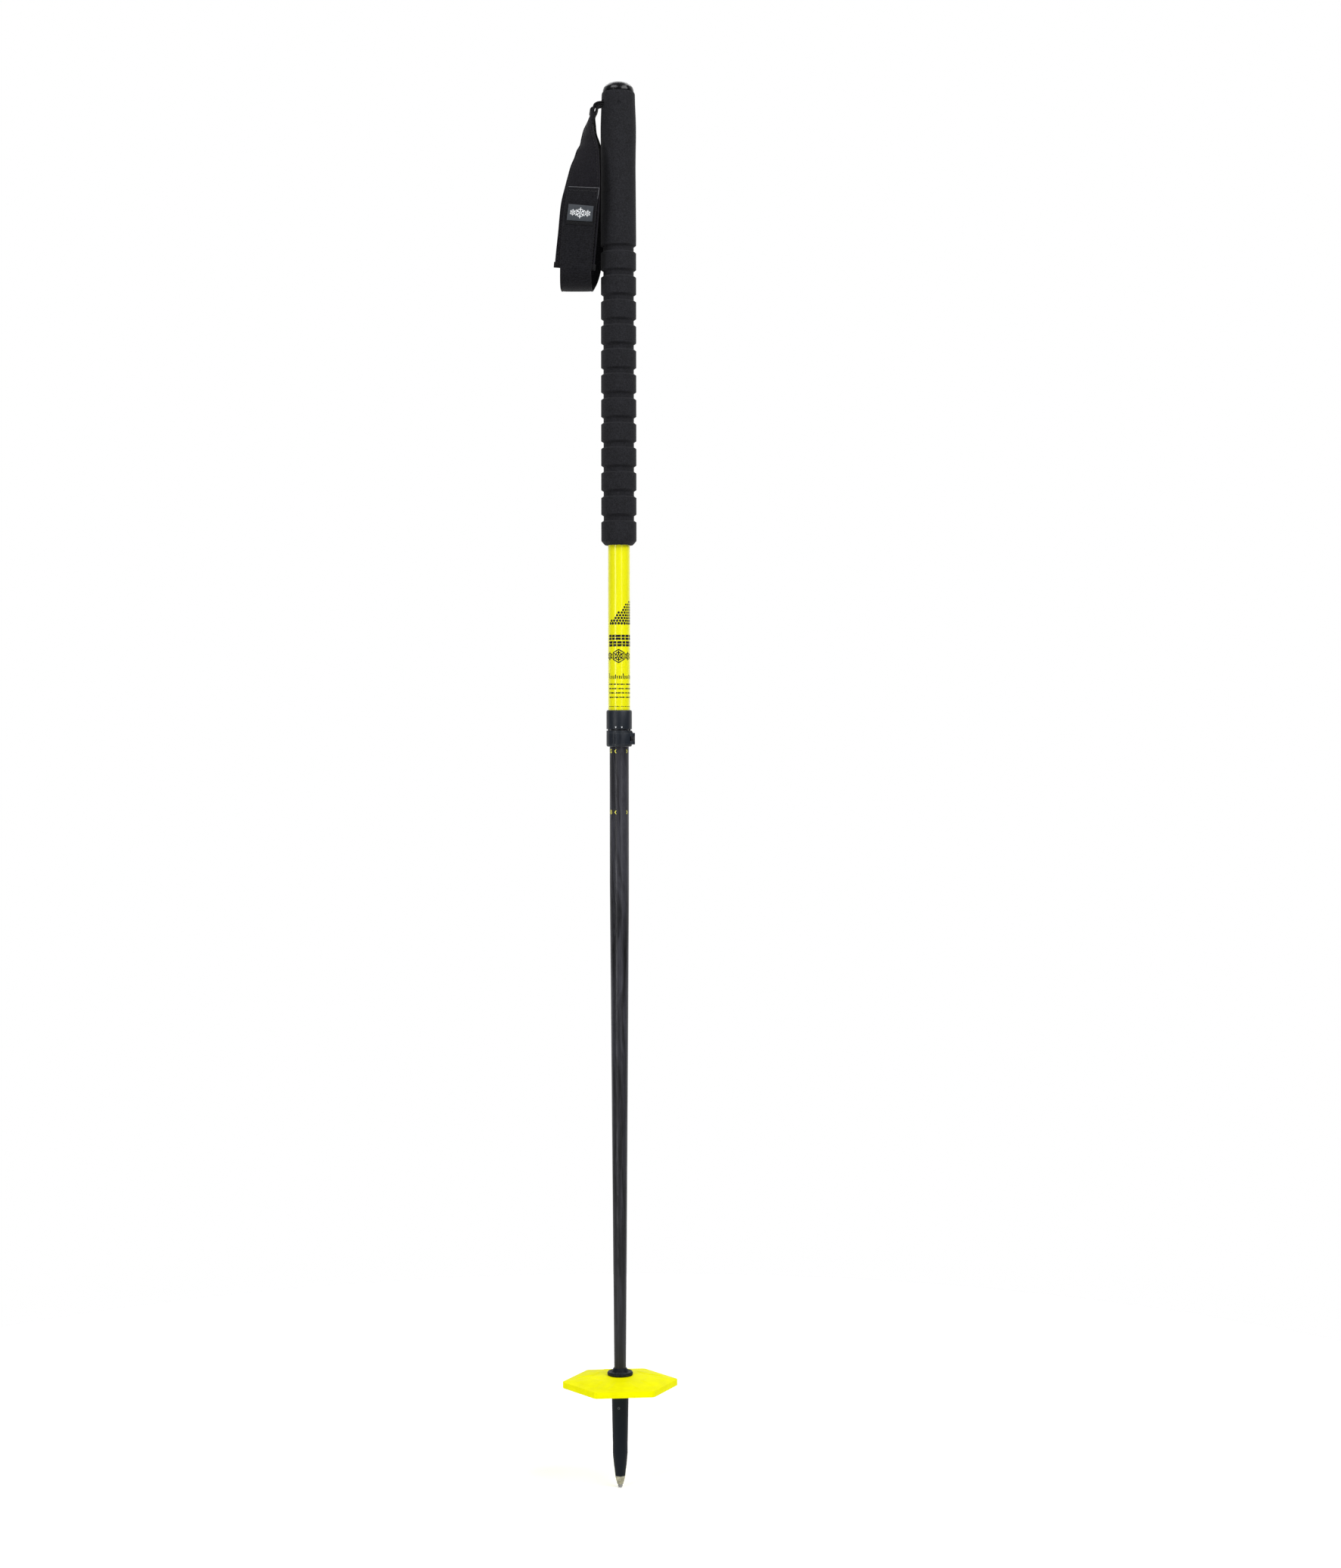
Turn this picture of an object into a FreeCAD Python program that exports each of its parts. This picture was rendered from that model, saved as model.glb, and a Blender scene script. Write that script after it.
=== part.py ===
import FreeCAD, Part
import math
import os

# A two-section telescopic ski pole, set to 115 cm. Millimetres, +Z up the shaft,
# origin where the tip meets the ground, front at -Y, strap on the -X side.

V = FreeCAD.Vector
AXIS_Z = V(0, 0, 1)

# ---- driving dimensions -------------------------------------------------------
POLE_LENGTH = 1155.0

TUBE_R = 9.0
TUBE_BORE_R = 8.2
TUBE_BOTTOM = 624.0
TUBE_TOP = 1120.0

SHAFT_R = 7.9
SHAFT_END_R = 4.9
SHAFT_WALL = 1.2
SHAFT_TOP = 958.0
SHAFT_TAPER_TOP = 494.0
SHAFT_TAPER_END = 98.7
SHAFT_BOTTOM = 24.0

GRIP_BOTTOM = 774.0
GRIP_TOP = 1146.5
GRIP_RING_R = 14.5
GROOVE_DEPTH = 2.0
GROOVE_COUNT = 12
GROOVE_FIRST = 1017.1
GROOVE_PITCH = 20.1
GROOVE_FLOOR = 3.7
GROOVE_MOUTH = 6.5
GRIP_OUTLINE = [
    (14.6, 1026.0),
    (14.42, 1054.0),
    (14.2, 1084.0),
    (14.34, 1097.0),
    (14.6, 1109.0),
    (14.6, 1118.0),
    (14.35, 1126.0),
    (13.9, 1136.5),
    (13.7, 1144.6),
]

INSERT_LENGTH = 26.0
CAP_SPIGOT_R = 4.5
CAP_SPIGOT_LOW = 1141.2
CAP_R = 12.7

SLOT_LOW = 1133.2
SLOT_HIGH = 1139.4
SLOT_HALF_WIDTH = 7.4
SLOT_END_X = 2.6
PIN_X = -2.0
PIN_Z = 1136.3
PIN_R = 1.5
PIN_HALF_LENGTH = 8.0
WEBBING_HALF_WIDTH = 7.0
WEBBING_HALF_STACK = 2.6
ANCHOR_END_X = -15.1

COLLAR_R = 10.5
COLLAR_TOP = 638.5
COLLAR_BOTTOM = 608.5
COLLAR_BORE_R = 7.96
SLIT_LOW = 621.8
SLIT_HIGH = 622.8
SPLIT_Y0 = 0.2
SPLIT_Y1 = 1.4
LUG_Y0 = -3.1
LUG_Y1 = 4.6
LUG_X = 12.9
LUG_LOW = 610.4
LUG_HIGH = 621.2

LEVER_X = 10.5
LEVER_Y = -6.0
LEVER_LOW = 610.3
LEVER_HIGH = 619.8
LEVER_INNER_R = 10.8
LEVER_OUTER_R = 12.7
LEVER_EAR_R = 2.6
LEVER_EAR = 2.9
LEVER_RECESS_R = 3.0
BARREL_R = 1.6
SCREW_R = 1.2
SCREW_HEAD_R = 2.1
SCREW_SOCKET_R = 1.15
SCREW_Z = 615.05
SCREW_START_Y = LEVER_Y - 0.6

BASKET_R = 47.8
BASKET_CORNER_R = 47.1
BASKET_TURN = 6.0
BASKET_RIM_LOW = 82.5
BASKET_RIM_HIGH = 87.4
BASKET_CROWN_R = 15.0
BASKET_CROWN_Z = 92.0
BASKET_WALL = 1.8
BASKET_HUB_R = 9.0
RING_R = 10.5
RING_TOP = 97.9
RIB_END = 43.0
RIB_HALF = 0.7
RIB_LOW = 84.0
RIB_HIGH = 87.4

FERRULE_SHOULDER = 80.0
FERRULE_NECK_R = 6.0
FERRULE_TOP = 96.0
FERRULE_SEAT_R = 6.15
FERRULE_OUTLINE = [
    (4.2, 9.4),
    (4.75, 15.0),
    (5.2, 18.0),
    (5.5, 21.0),
    (5.85, 24.5),
    (FERRULE_SEAT_R, 28.0),
    (FERRULE_SEAT_R, 36.0),
    (6.3, 41.0),
    (6.55, 55.0),
    (6.8, 69.0),
    (6.9, FERRULE_SHOULDER),
]

SLEEVE_TOP = 9.4
SLEEVE_BOTTOM = 2.5
SLEEVE_SPIGOT_R = 2.6
SLEEVE_SPIGOT_TOP = 20.0
TIP_R = 1.95
TIP_SPIGOT_R = 1.4
TIP_SPIGOT_TOP = 16.0

PLUG_DEPTH = 22.0
PLUG_HEAD = 10.0
PLUG_PLAY = 0.08

STRAP_X = -17.6
STRAP_Z = 1135.9
STRAP_BAR_R = 2.4

# Stations of the strap's runs: centre x, y, z, width, and the turn of the width about
# Z, 0 when the face looks to the front and 90 when its edge does.
# The front run is the outer strand of the webbing, then the wide band.
FRONT_RUN = [
    (-17.6, 0.0, 1136.7, 14.0, 90.0),
    (-19.6, -0.3, 1135.0, 14.0, 89.0),
    (-21.4, -0.9, 1132.0, 14.0, 87.0),
    (-22.2, -1.8, 1126.6, 14.3, 84.0),
    (-23.7, -3.0, 1122.2, 14.6, 78.0),
    (-24.9, -4.8, 1117.0, 15.6, 67.0),
    (-25.3, -7.0, 1109.9, 17.4, 57.0),
    (-25.0, -9.0, 1103.2, 20.0, 48.0),
    (-25.5, -10.6, 1097.8, 23.2, 41.0),
    (-26.0, -12.6, 1090.3, 25.8, 35.0),
    (-27.2, -14.2, 1082.7, 28.4, 31.0),
    (-28.1, -15.6, 1074.2, 30.4, 27.6),
    (-29.2, -16.8, 1064.7, 31.5, 22.0),
    (-30.9, -17.9, 1051.1, 32.8, 14.5),
    (-33.0, -18.3, 1026.8, 33.0, 11.0),
    (-34.6, -18.0, 1011.0, 33.0, 9.0),
    (-35.7, -17.4, 998.5, 33.0, 8.0),
]
WEBBING_STATIONS = 3

# The loop run is the elastic panel, down the front, under and up behind, then the
# inner strand of the webbing.
LOOP_RUN = [
    (-27.9, -21.3, 1064.1, 26.8, 16.0),
    (-30.6, -21.9, 1046.6, 27.2, 12.0),
    (-32.8, -21.9, 1024.2, 27.0, 8.0),
    (-34.1, -21.3, 1006.3, 26.4, 6.0),
    (-34.6, -20.6, 997.1, 25.6, 5.0),
    (-34.7, -17.6, 990.4, 25.6, 4.0),
    (-34.7, -11.0, 985.1, 25.6, 2.0),
    (-34.3, -2.0, 983.4, 25.6, 0.0),
    (-33.6, 7.0, 985.1, 25.8, 0.0),
    (-31.9, 14.0, 990.7, 26.2, 2.0),
    (-28.9, 17.6, 1000.0, 26.6, 5.0),
    (-26.2, 18.9, 1016.0, 26.6, 8.0),
    (-24.8, 19.2, 1040.0, 25.0, 12.0),
    (-23.0, 18.4, 1062.0, 21.4, 22.0),
    (-21.0, 15.8, 1082.0, 18.0, 38.0),
    (-18.8, 12.7, 1099.5, 16.0, 50.0),
    (-20.1, 6.4, 1113.7, 14.4, 74.0),
    (-20.0, 4.0, 1119.4, 14.0, 80.0),
    (-19.8, 2.2, 1123.8, 14.0, 84.0),
    (-19.2, 1.0, 1127.2, 14.0, 88.0),
    (-17.9, 0.2, 1131.0, 14.0, 90.0),
    (-17.4, 0.0, 1134.5, 14.0, 90.0),
]
PANEL_STATIONS = 13
WEBBING_THICK = 1.6
WEBBING_WIDEST = 22.0
BAND_THICK = 2.6
PANEL_THICK = 1.6
PATCH_THICK = 0.6
PATCH_WIDTH = 20.0
PATCH_HEIGHTS = (1046.6, 1024.2, 1012.0)
LABEL_WIDTH = 21.3
LABEL_ASIDE = 0.7
LABEL_MARGIN = 0.4
LABEL_BASE_THICK = 0.5
LABEL_PLATE_THICK = 0.5
LABEL_TOP = 1049.6
LABEL_BEND = 1046.6
LABEL_SPLIT = 1036.7
LABEL_LOW = 1033.6

os.makedirs("parts", exist_ok=True)


# ---- helpers ------------------------------------------------------------------
def save(name, shape):
    shape.exportStep("parts/" + name + ".step")


def turned(points):
    """A solid of revolution about Z from (radius, height) corners."""
    corners = [V(r, 0, z) for r, z in points]
    wire = Part.makePolygon(corners + [corners[0]])
    return Part.Face(wire).revolve(V(0, 0, 0), AXIS_Z, 360)


def turned_edges(edges):
    """A solid of revolution about Z from the edges of a closed outline."""
    wire = Part.Wire(Part.__sortEdges__(edges))
    return Part.Face(wire).revolve(V(0, 0, 0), AXIS_Z, 360)


def line(a, b):
    return Part.makeLine(V(a[0], 0, a[1]), V(b[0], 0, b[1]))


def arc(a, b, c):
    return Part.Arc(V(a[0], 0, a[1]), V(b[0], 0, b[1]), V(c[0], 0, c[1])).toShape()


def rod(radius, low, high, x=0.0, y=0.0):
    return Part.makeCylinder(radius, high - low, V(x, y, low), AXIS_Z)


def box(x0, x1, y0, y1, z0, z1):
    return Part.makeBox(x1 - x0, y1 - y0, z1 - z0, V(x0, y0, z0))


def sector(inner, outer, start, end, low, high):
    """A ring segment about Z between two angles in degrees."""
    def at(radius, angle):
        a = math.radians(angle)
        return V(radius * math.cos(a), radius * math.sin(a), low)

    middle = (start + end) / 2
    edges = [
        Part.Arc(at(inner, start), at(inner, middle), at(inner, end)).toShape(),
        Part.makeLine(at(inner, end), at(outer, end)),
        Part.Arc(at(outer, end), at(outer, middle), at(outer, start)).toShape(),
        Part.makeLine(at(outer, start), at(inner, start)),
    ]
    return Part.Face(Part.Wire(edges)).extrude(V(0, 0, high - low))


def shaft_radius(z):
    """The carbon shaft's outer radius at a height."""
    if z >= SHAFT_TAPER_TOP:
        return SHAFT_R
    slope = (SHAFT_R - SHAFT_END_R) / (SHAFT_TAPER_TOP - SHAFT_TAPER_END)
    return SHAFT_R - slope * (SHAFT_TAPER_TOP - z)


def run_frames(stations):
    """Centre, width direction, thickness direction and width at each station of a run."""
    frames = []
    for i, (x, y, z, width, turn) in enumerate(stations):
        before = stations[max(i - 1, 0)]
        after = stations[min(i + 1, len(stations) - 1)]
        along = V(after[0] - before[0], after[1] - before[1], after[2] - before[2])
        along.normalize()
        angle = math.radians(turn)
        across = V(-math.cos(angle), math.sin(angle), 0)
        across = across - along * across.dot(along)
        across.normalize()
        frames.append((V(x, y, z), across, along.cross(across), width))
    return frames


def ribbon(frames, thick, offset=0.0, widest=None, aside=0.0):
    """A stretch of a run as one solid, flat rectangles joined by ruled faces.

    offset moves it along the thickness direction, which points into the loop, and
    aside moves it along its width, towards the grip.
    """
    wires = []
    for middle, across, normal, full in frames:
        centre = middle - across * aside
        half = across * (min(full, widest or full) / 2)
        low = normal * (offset - thick / 2)
        high = normal * (offset + thick / 2)
        corners = [
            centre - half + low,
            centre + half + low,
            centre + half + high,
            centre - half + high,
        ]
        wires.append(Part.makePolygon(corners + [corners[0]]))
    return Part.makeLoft(wires, True, True)


def frame_at(frames, z):
    """The frame between the two stations of a downward run on either side of z."""
    for upper, lower in zip(frames, frames[1:]):
        if upper[0].z >= z >= lower[0].z:
            t = (upper[0].z - z) / (upper[0].z - lower[0].z)
            blend = [upper[k] * (1 - t) + lower[k] * t for k in range(4)]
            return (blend[0], blend[1].normalize(), blend[2].normalize(), blend[3])
    raise ValueError("no station beside %s" % z)


# ---- upper section ------------------------------------------------------------
def make_upper_tube():
    return rod(TUBE_R, TUBE_BOTTOM, TUBE_TOP).cut(rod(TUBE_BORE_R, TUBE_BOTTOM, TUBE_TOP))


def make_grip_foam():
    edges = [line((TUBE_R, GRIP_TOP), (TUBE_R, GRIP_BOTTOM))]
    edges.append(line((TUBE_R, GRIP_BOTTOM), (11.3, GRIP_BOTTOM)))
    edges.append(arc((11.3, GRIP_BOTTOM), (13.5, 775.2), (GRIP_RING_R, 778.4)))
    here = (GRIP_RING_R, 778.4)
    for i in reversed(range(GROOVE_COUNT)):
        z = GROOVE_FIRST - i * GROOVE_PITCH
        floor_r = GRIP_RING_R - GROOVE_DEPTH
        groove = [
            (GRIP_RING_R, z - GROOVE_MOUTH / 2),
            (floor_r, z - GROOVE_FLOOR / 2),
            (floor_r, z + GROOVE_FLOOR / 2),
            (GRIP_RING_R, z + GROOVE_MOUTH / 2),
        ]
        for corner in groove:
            edges.append(line(here, corner))
            here = corner
    for corner in GRIP_OUTLINE:
        edges.append(line(here, corner))
        here = corner
    edges.append(arc(here, (13.2, 1145.9), (11.9, GRIP_TOP)))
    edges.append(line((11.9, GRIP_TOP), (TUBE_R, GRIP_TOP)))
    foam = turned_edges(edges)
    slot = box(-20, -4, -SLOT_HALF_WIDTH, SLOT_HALF_WIDTH, SLOT_LOW, SLOT_HIGH)
    return foam.cut(slot)


def make_head_insert():
    plug = rod(TUBE_BORE_R, TUBE_TOP - INSERT_LENGTH, TUBE_TOP)
    plug = plug.fuse(rod(TUBE_R, TUBE_TOP, GRIP_TOP))
    slot = box(-12, SLOT_END_X, -SLOT_HALF_WIDTH, SLOT_HALF_WIDTH, SLOT_LOW, SLOT_HIGH)
    socket = rod(CAP_SPIGOT_R, CAP_SPIGOT_LOW, GRIP_TOP)
    return plug.cut(slot).cut(make_strap_pin()).cut(socket)


def make_strap_pin():
    start = V(PIN_X, -PIN_HALF_LENGTH, PIN_Z)
    return Part.makeCylinder(PIN_R, 2 * PIN_HALF_LENGTH, start, V(0, 1, 0))


def make_strap_anchor():
    loop = Part.makeCylinder(
        WEBBING_HALF_STACK,
        2 * WEBBING_HALF_WIDTH,
        V(PIN_X, -WEBBING_HALF_WIDTH, PIN_Z),
        V(0, 1, 0),
    )
    run = box(
        ANCHOR_END_X,
        PIN_X,
        -WEBBING_HALF_WIDTH,
        WEBBING_HALF_WIDTH,
        PIN_Z - WEBBING_HALF_STACK,
        PIN_Z + WEBBING_HALF_STACK,
    )
    return loop.fuse(run).removeSplitter().cut(make_strap_pin())


def make_top_cap():
    edges = [
        line((0, CAP_SPIGOT_LOW), (CAP_SPIGOT_R, CAP_SPIGOT_LOW)),
        line((CAP_SPIGOT_R, CAP_SPIGOT_LOW), (CAP_SPIGOT_R, GRIP_TOP)),
        line((CAP_SPIGOT_R, GRIP_TOP), (CAP_R - 0.2, GRIP_TOP)),
        line((CAP_R - 0.2, GRIP_TOP), (CAP_R, GRIP_TOP + 0.8)),
        arc((CAP_R, GRIP_TOP + 0.8), (11.95, 1150.0), (9.4, 1152.7)),
        line((9.4, 1152.7), (7.4, 1153.9)),
        line((7.4, 1153.9), (4.6, 1154.7)),
        line((4.6, 1154.7), (2.0, POLE_LENGTH)),
        line((2.0, POLE_LENGTH), (0, POLE_LENGTH)),
        line((0, POLE_LENGTH), (0, CAP_SPIGOT_LOW)),
    ]
    return turned_edges(edges)


def make_clamp_collar():
    outline = [
        (TUBE_R - 1.5, COLLAR_BOTTOM),
        (9.4, COLLAR_BOTTOM),
        (10.2, COLLAR_BOTTOM + 0.5),
        (COLLAR_R, COLLAR_BOTTOM + 1.4),
        (COLLAR_R, COLLAR_TOP - 1.2),
        (10.2, COLLAR_TOP - 0.4),
        (9.7, COLLAR_TOP),
        (TUBE_R - 1.5, COLLAR_TOP),
    ]
    collar = turned(outline)
    profile = [
        V(7.8, LUG_Y0, LUG_LOW),
        V(LUG_X - 0.6, LUG_Y0, LUG_LOW),
        V(LUG_X, LUG_Y0, LUG_LOW + 0.8),
        V(LUG_X, LUG_Y0, 617.0),
        V(10.6, LUG_Y0, LUG_HIGH),
        V(7.8, LUG_Y0, LUG_HIGH),
    ]
    lugs = Part.Face(Part.makePolygon(profile + [profile[0]]))
    collar = collar.fuse(lugs.extrude(V(0, LUG_Y1 - LUG_Y0, 0)))
    collar = collar.cut(rod(COLLAR_BORE_R, COLLAR_BOTTOM - 1, COLLAR_TOP))
    collar = collar.cut(rod(TUBE_R, TUBE_BOTTOM, COLLAR_TOP + 1))
    collar = collar.cut(box(-12, 14, -12, 4.8, SLIT_LOW, SLIT_HIGH))
    collar = collar.cut(box(6, 14, SPLIT_Y0, SPLIT_Y1, COLLAR_BOTTOM - 1, SLIT_HIGH))
    pocket = rod(LEVER_EAR_R + 0.3, LEVER_LOW - 0.35, LEVER_HIGH + 0.35, LEVER_X, LEVER_Y)
    collar = collar.cut(pocket)
    screw_hole = Part.makeCylinder(SCREW_R + 0.1, 12, V(LEVER_X, -5, SCREW_Z), V(0, 1, 0))
    head_seat = Part.makeCylinder(2.4, 6, V(LEVER_X, LUG_Y1, SCREW_Z), V(0, 1, 0))
    return collar.cut(screw_hole).cut(head_seat)


def make_barrel_nut():
    barrel = rod(BARREL_R, LEVER_LOW + 0.3, LEVER_HIGH - 0.3, LEVER_X, LEVER_Y)
    thread = Part.makeCylinder(SCREW_R, 6, V(LEVER_X, SCREW_START_Y, SCREW_Z), V(0, 1, 0))
    return barrel.cut(thread)


def make_tension_screw():
    start = V(LEVER_X, SCREW_START_Y, SCREW_Z)
    shank = Part.makeCylinder(SCREW_R, LUG_Y1 - start.y, start, V(0, 1, 0))
    head = Part.makeCylinder(SCREW_HEAD_R, 1.8, V(LEVER_X, LUG_Y1, SCREW_Z), V(0, 1, 0))
    socket_corners = []
    for i in range(7):
        a = math.radians(60 * i)
        reach = V(SCREW_SOCKET_R * math.cos(a), 0, SCREW_SOCKET_R * math.sin(a))
        socket_corners.append(V(LEVER_X, LUG_Y1 + 0.7, SCREW_Z) + reach)
    socket = Part.Face(Part.makePolygon(socket_corners)).extrude(V(0, 2, 0))
    return shank.fuse(head).removeSplitter().cut(socket)


def make_clamp_lever():
    lever = sector(LEVER_INNER_R, LEVER_OUTER_R, -84, -34, LEVER_LOW, LEVER_HIGH)
    lever = lever.fuse(sector(LEVER_INNER_R, 11.8, -106.5, -84, LEVER_LOW, LEVER_HIGH))
    lever = lever.fuse(sector(LEVER_INNER_R, 13.0, -109, -106.5, LEVER_LOW, LEVER_HIGH))
    lever = lever.fuse(rod(LEVER_EAR_R, LEVER_LOW, LEVER_HIGH, LEVER_X, LEVER_Y))
    recess_low = LEVER_LOW + LEVER_EAR
    recess_high = LEVER_HIGH - LEVER_EAR
    lever = lever.cut(rod(LEVER_RECESS_R, recess_low, recess_high, LEVER_X, LEVER_Y))
    pivot_hole = rod(BARREL_R + 0.05, LEVER_LOW - 1, LEVER_HIGH + 1, LEVER_X, LEVER_Y)
    return lever.cut(pivot_hole)


# ---- strap --------------------------------------------------------------------
front = run_frames(FRONT_RUN)
loop = run_frames(LOOP_RUN)


def make_strap_webbing():
    bar = Part.makeCylinder(
        STRAP_BAR_R,
        2 * WEBBING_HALF_WIDTH,
        V(STRAP_X, -WEBBING_HALF_WIDTH, STRAP_Z),
        V(0, 1, 0),
    )
    outer = ribbon(front[:WEBBING_STATIONS], WEBBING_THICK)
    inner = ribbon(loop[PANEL_STATIONS - 1:], WEBBING_THICK, widest=WEBBING_WIDEST)
    return bar.fuse([outer, inner])


def make_strap_band():
    return ribbon(front[WEBBING_STATIONS - 1:], BAND_THICK)


def make_strap_panel():
    return ribbon(loop[:PANEL_STATIONS], PANEL_THICK)


def make_hook_patch():
    stretch = [frame_at(loop, z) for z in PATCH_HEIGHTS]
    offset = (PANEL_THICK + PATCH_THICK) / 2
    return ribbon(stretch, PATCH_THICK, offset, widest=PATCH_WIDTH)


def make_label_base():
    stretch = [frame_at(loop, z) for z in (LABEL_TOP + LABEL_MARGIN, LABEL_BEND, LABEL_LOW)]
    offset = -(PANEL_THICK + LABEL_BASE_THICK) / 2
    width = LABEL_WIDTH + 2 * LABEL_MARGIN
    return ribbon(stretch, LABEL_BASE_THICK, offset, width, LABEL_ASIDE)


def make_label_plate():
    stretch = [frame_at(loop, z) for z in (LABEL_TOP, LABEL_BEND, LABEL_SPLIT)]
    offset = -(PANEL_THICK + LABEL_PLATE_THICK) / 2 - LABEL_BASE_THICK
    return ribbon(stretch, LABEL_PLATE_THICK, offset, LABEL_WIDTH, LABEL_ASIDE)


# ---- lower section ------------------------------------------------------------
def make_lower_shaft():
    outer = [
        (shaft_radius(SHAFT_BOTTOM), SHAFT_BOTTOM),
        (SHAFT_R, SHAFT_TAPER_TOP),
        (SHAFT_R, SHAFT_TOP),
    ]
    inner = [
        (SHAFT_R - SHAFT_WALL, SHAFT_TOP),
        (SHAFT_R - SHAFT_WALL, SHAFT_TAPER_TOP),
        (shaft_radius(SHAFT_BOTTOM) - SHAFT_WALL, SHAFT_BOTTOM),
    ]
    return turned(outer + inner)


def make_shaft_plug():
    bore = SHAFT_R - SHAFT_WALL
    head_r = TUBE_BORE_R - PLUG_PLAY
    return turned([
        (0, SHAFT_TOP - PLUG_DEPTH),
        (bore - 0.6, SHAFT_TOP - PLUG_DEPTH),
        (bore, SHAFT_TOP - PLUG_DEPTH + 2),
        (bore, SHAFT_TOP),
        (head_r, SHAFT_TOP),
        (head_r, SHAFT_TOP + PLUG_HEAD - 1),
        (head_r - 0.7, SHAFT_TOP + PLUG_HEAD),
        (0, SHAFT_TOP + PLUG_HEAD),
    ])


def make_ferrule():
    body = turned(
        [(0, SLEEVE_TOP)]
        + FERRULE_OUTLINE
        + [(FERRULE_NECK_R, FERRULE_SHOULDER), (FERRULE_NECK_R, FERRULE_TOP), (0, FERRULE_TOP)]
    )
    seat = turned([
        (0, SHAFT_BOTTOM),
        (shaft_radius(SHAFT_BOTTOM), SHAFT_BOTTOM),
        (shaft_radius(FERRULE_TOP), FERRULE_TOP),
        (0, FERRULE_TOP),
    ])
    return body.cut(seat).cut(rod(SLEEVE_SPIGOT_R, SLEEVE_TOP, SLEEVE_SPIGOT_TOP))


def make_tip_sleeve():
    return turned([
        (TIP_SPIGOT_R, SLEEVE_BOTTOM),
        (2.5, SLEEVE_BOTTOM),
        (3.3, 5.4),
        (4.0, 8.2),
        (4.2, SLEEVE_TOP),
        (SLEEVE_SPIGOT_R, SLEEVE_TOP),
        (SLEEVE_SPIGOT_R, SLEEVE_SPIGOT_TOP),
        (TIP_SPIGOT_R, SLEEVE_SPIGOT_TOP),
    ])


def make_tip_pin():
    return turned([
        (0, 0),
        (1.3, 0),
        (TIP_R - 0.1, 0.35),
        (TIP_R, 0.7),
        (TIP_R, SLEEVE_BOTTOM),
        (TIP_SPIGOT_R, SLEEVE_BOTTOM),
        (TIP_SPIGOT_R, TIP_SPIGOT_TOP),
        (0, TIP_SPIGOT_TOP),
    ])


def make_basket_collar():
    """The ring that locks the basket on: a flared foot, a groove and a short neck."""
    rows = [
        (10.1, BASKET_CROWN_Z),
        (RING_R, BASKET_CROWN_Z + 0.8),
        (RING_R, BASKET_CROWN_Z + 2.0),
        (10.0, BASKET_CROWN_Z + 3.0),
        (9.2, BASKET_CROWN_Z + 3.1),
        (8.4, BASKET_CROWN_Z + 2.6),
        (7.2, BASKET_CROWN_Z + 2.6),
        (6.3, BASKET_CROWN_Z + 4.4),
        (5.4, RING_TOP),
    ]
    bore = [
        (shaft_radius(RING_TOP), RING_TOP),
        (shaft_radius(FERRULE_TOP), FERRULE_TOP),
        (FERRULE_NECK_R, FERRULE_TOP),
        (FERRULE_NECK_R, BASKET_CROWN_Z),
    ]
    return turned(rows + bore)


def hexagon(radius, corner, z):
    """A hexagon with its corners cut off square, corner being their distance."""
    half_cut = (radius - corner) * math.sqrt(3)
    points = []
    for k in range(6):
        a = math.radians(180 + BASKET_TURN + 60 * k)
        middle = V(corner * math.cos(a), corner * math.sin(a), z)
        tangent = V(-math.sin(a), math.cos(a), 0) * half_cut
        points.append(middle - tangent)
        points.append(middle + tangent)
    return Part.makePolygon(points + [points[0]])


def hexagon_block(radius, corner, low, high):
    return Part.Face(hexagon(radius, corner, low)).extrude(V(0, 0, high - low))


def hexagon_cone(radius, corner, low, top_radius, high):
    scale = top_radius / radius
    wires = [hexagon(radius, corner, low), hexagon(top_radius, corner * scale, high)]
    return Part.makeLoft(wires, True, True)


def make_basket():
    outer = hexagon_block(BASKET_R, BASKET_CORNER_R, BASKET_RIM_LOW, BASKET_RIM_HIGH)
    crown = hexagon_cone(
        BASKET_R, BASKET_CORNER_R, BASKET_RIM_HIGH, BASKET_CROWN_R, BASKET_CROWN_Z
    )
    wall = BASKET_WALL
    hollow = hexagon_block(
        BASKET_R - wall, BASKET_CORNER_R - wall, BASKET_RIM_LOW - 1, BASKET_RIM_HIGH - wall
    )
    hollow_crown = hexagon_cone(
        BASKET_R - wall,
        BASKET_CORNER_R - wall,
        BASKET_RIM_HIGH - wall,
        BASKET_CROWN_R,
        BASKET_CROWN_Z - wall,
    )
    basket = outer.fuse(crown).cut(hollow.fuse(hollow_crown))
    basket = basket.fuse(rod(BASKET_HUB_R, FERRULE_SHOULDER, BASKET_CROWN_Z - 0.5))
    for k in range(6):
        rib = box(BASKET_HUB_R - 1, RIB_END, -RIB_HALF, RIB_HALF, RIB_LOW, RIB_HIGH)
        rib.rotate(V(0, 0, 0), AXIS_Z, BASKET_TURN + 60 * k)
        basket = basket.fuse(rib)
    return basket.cut(rod(FERRULE_NECK_R, FERRULE_SHOULDER - 1, BASKET_CROWN_Z + 1))


# ---- every piece --------------------------------------------------------------
pieces = {
    "upper_tube": make_upper_tube(),
    "grip_foam": make_grip_foam(),
    "top_cap": make_top_cap(),
    "head_insert": make_head_insert(),
    "strap_pin": make_strap_pin(),
    "strap_anchor": make_strap_anchor(),
    "clamp_collar": make_clamp_collar(),
    "barrel_nut": make_barrel_nut(),
    "tension_screw": make_tension_screw(),
    "clamp_lever": make_clamp_lever(),
    "strap_webbing": make_strap_webbing(),
    "strap_band": make_strap_band(),
    "strap_panel": make_strap_panel(),
    "hook_patch": make_hook_patch(),
    "label_base": make_label_base(),
    "label_plate": make_label_plate(),
    "lower_shaft": make_lower_shaft(),
    "shaft_plug": make_shaft_plug(),
    "basket_collar": make_basket_collar(),
    "basket": make_basket(),
    "ferrule": make_ferrule(),
    "tip_sleeve": make_tip_sleeve(),
    "tip_pin": make_tip_pin(),
}

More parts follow.
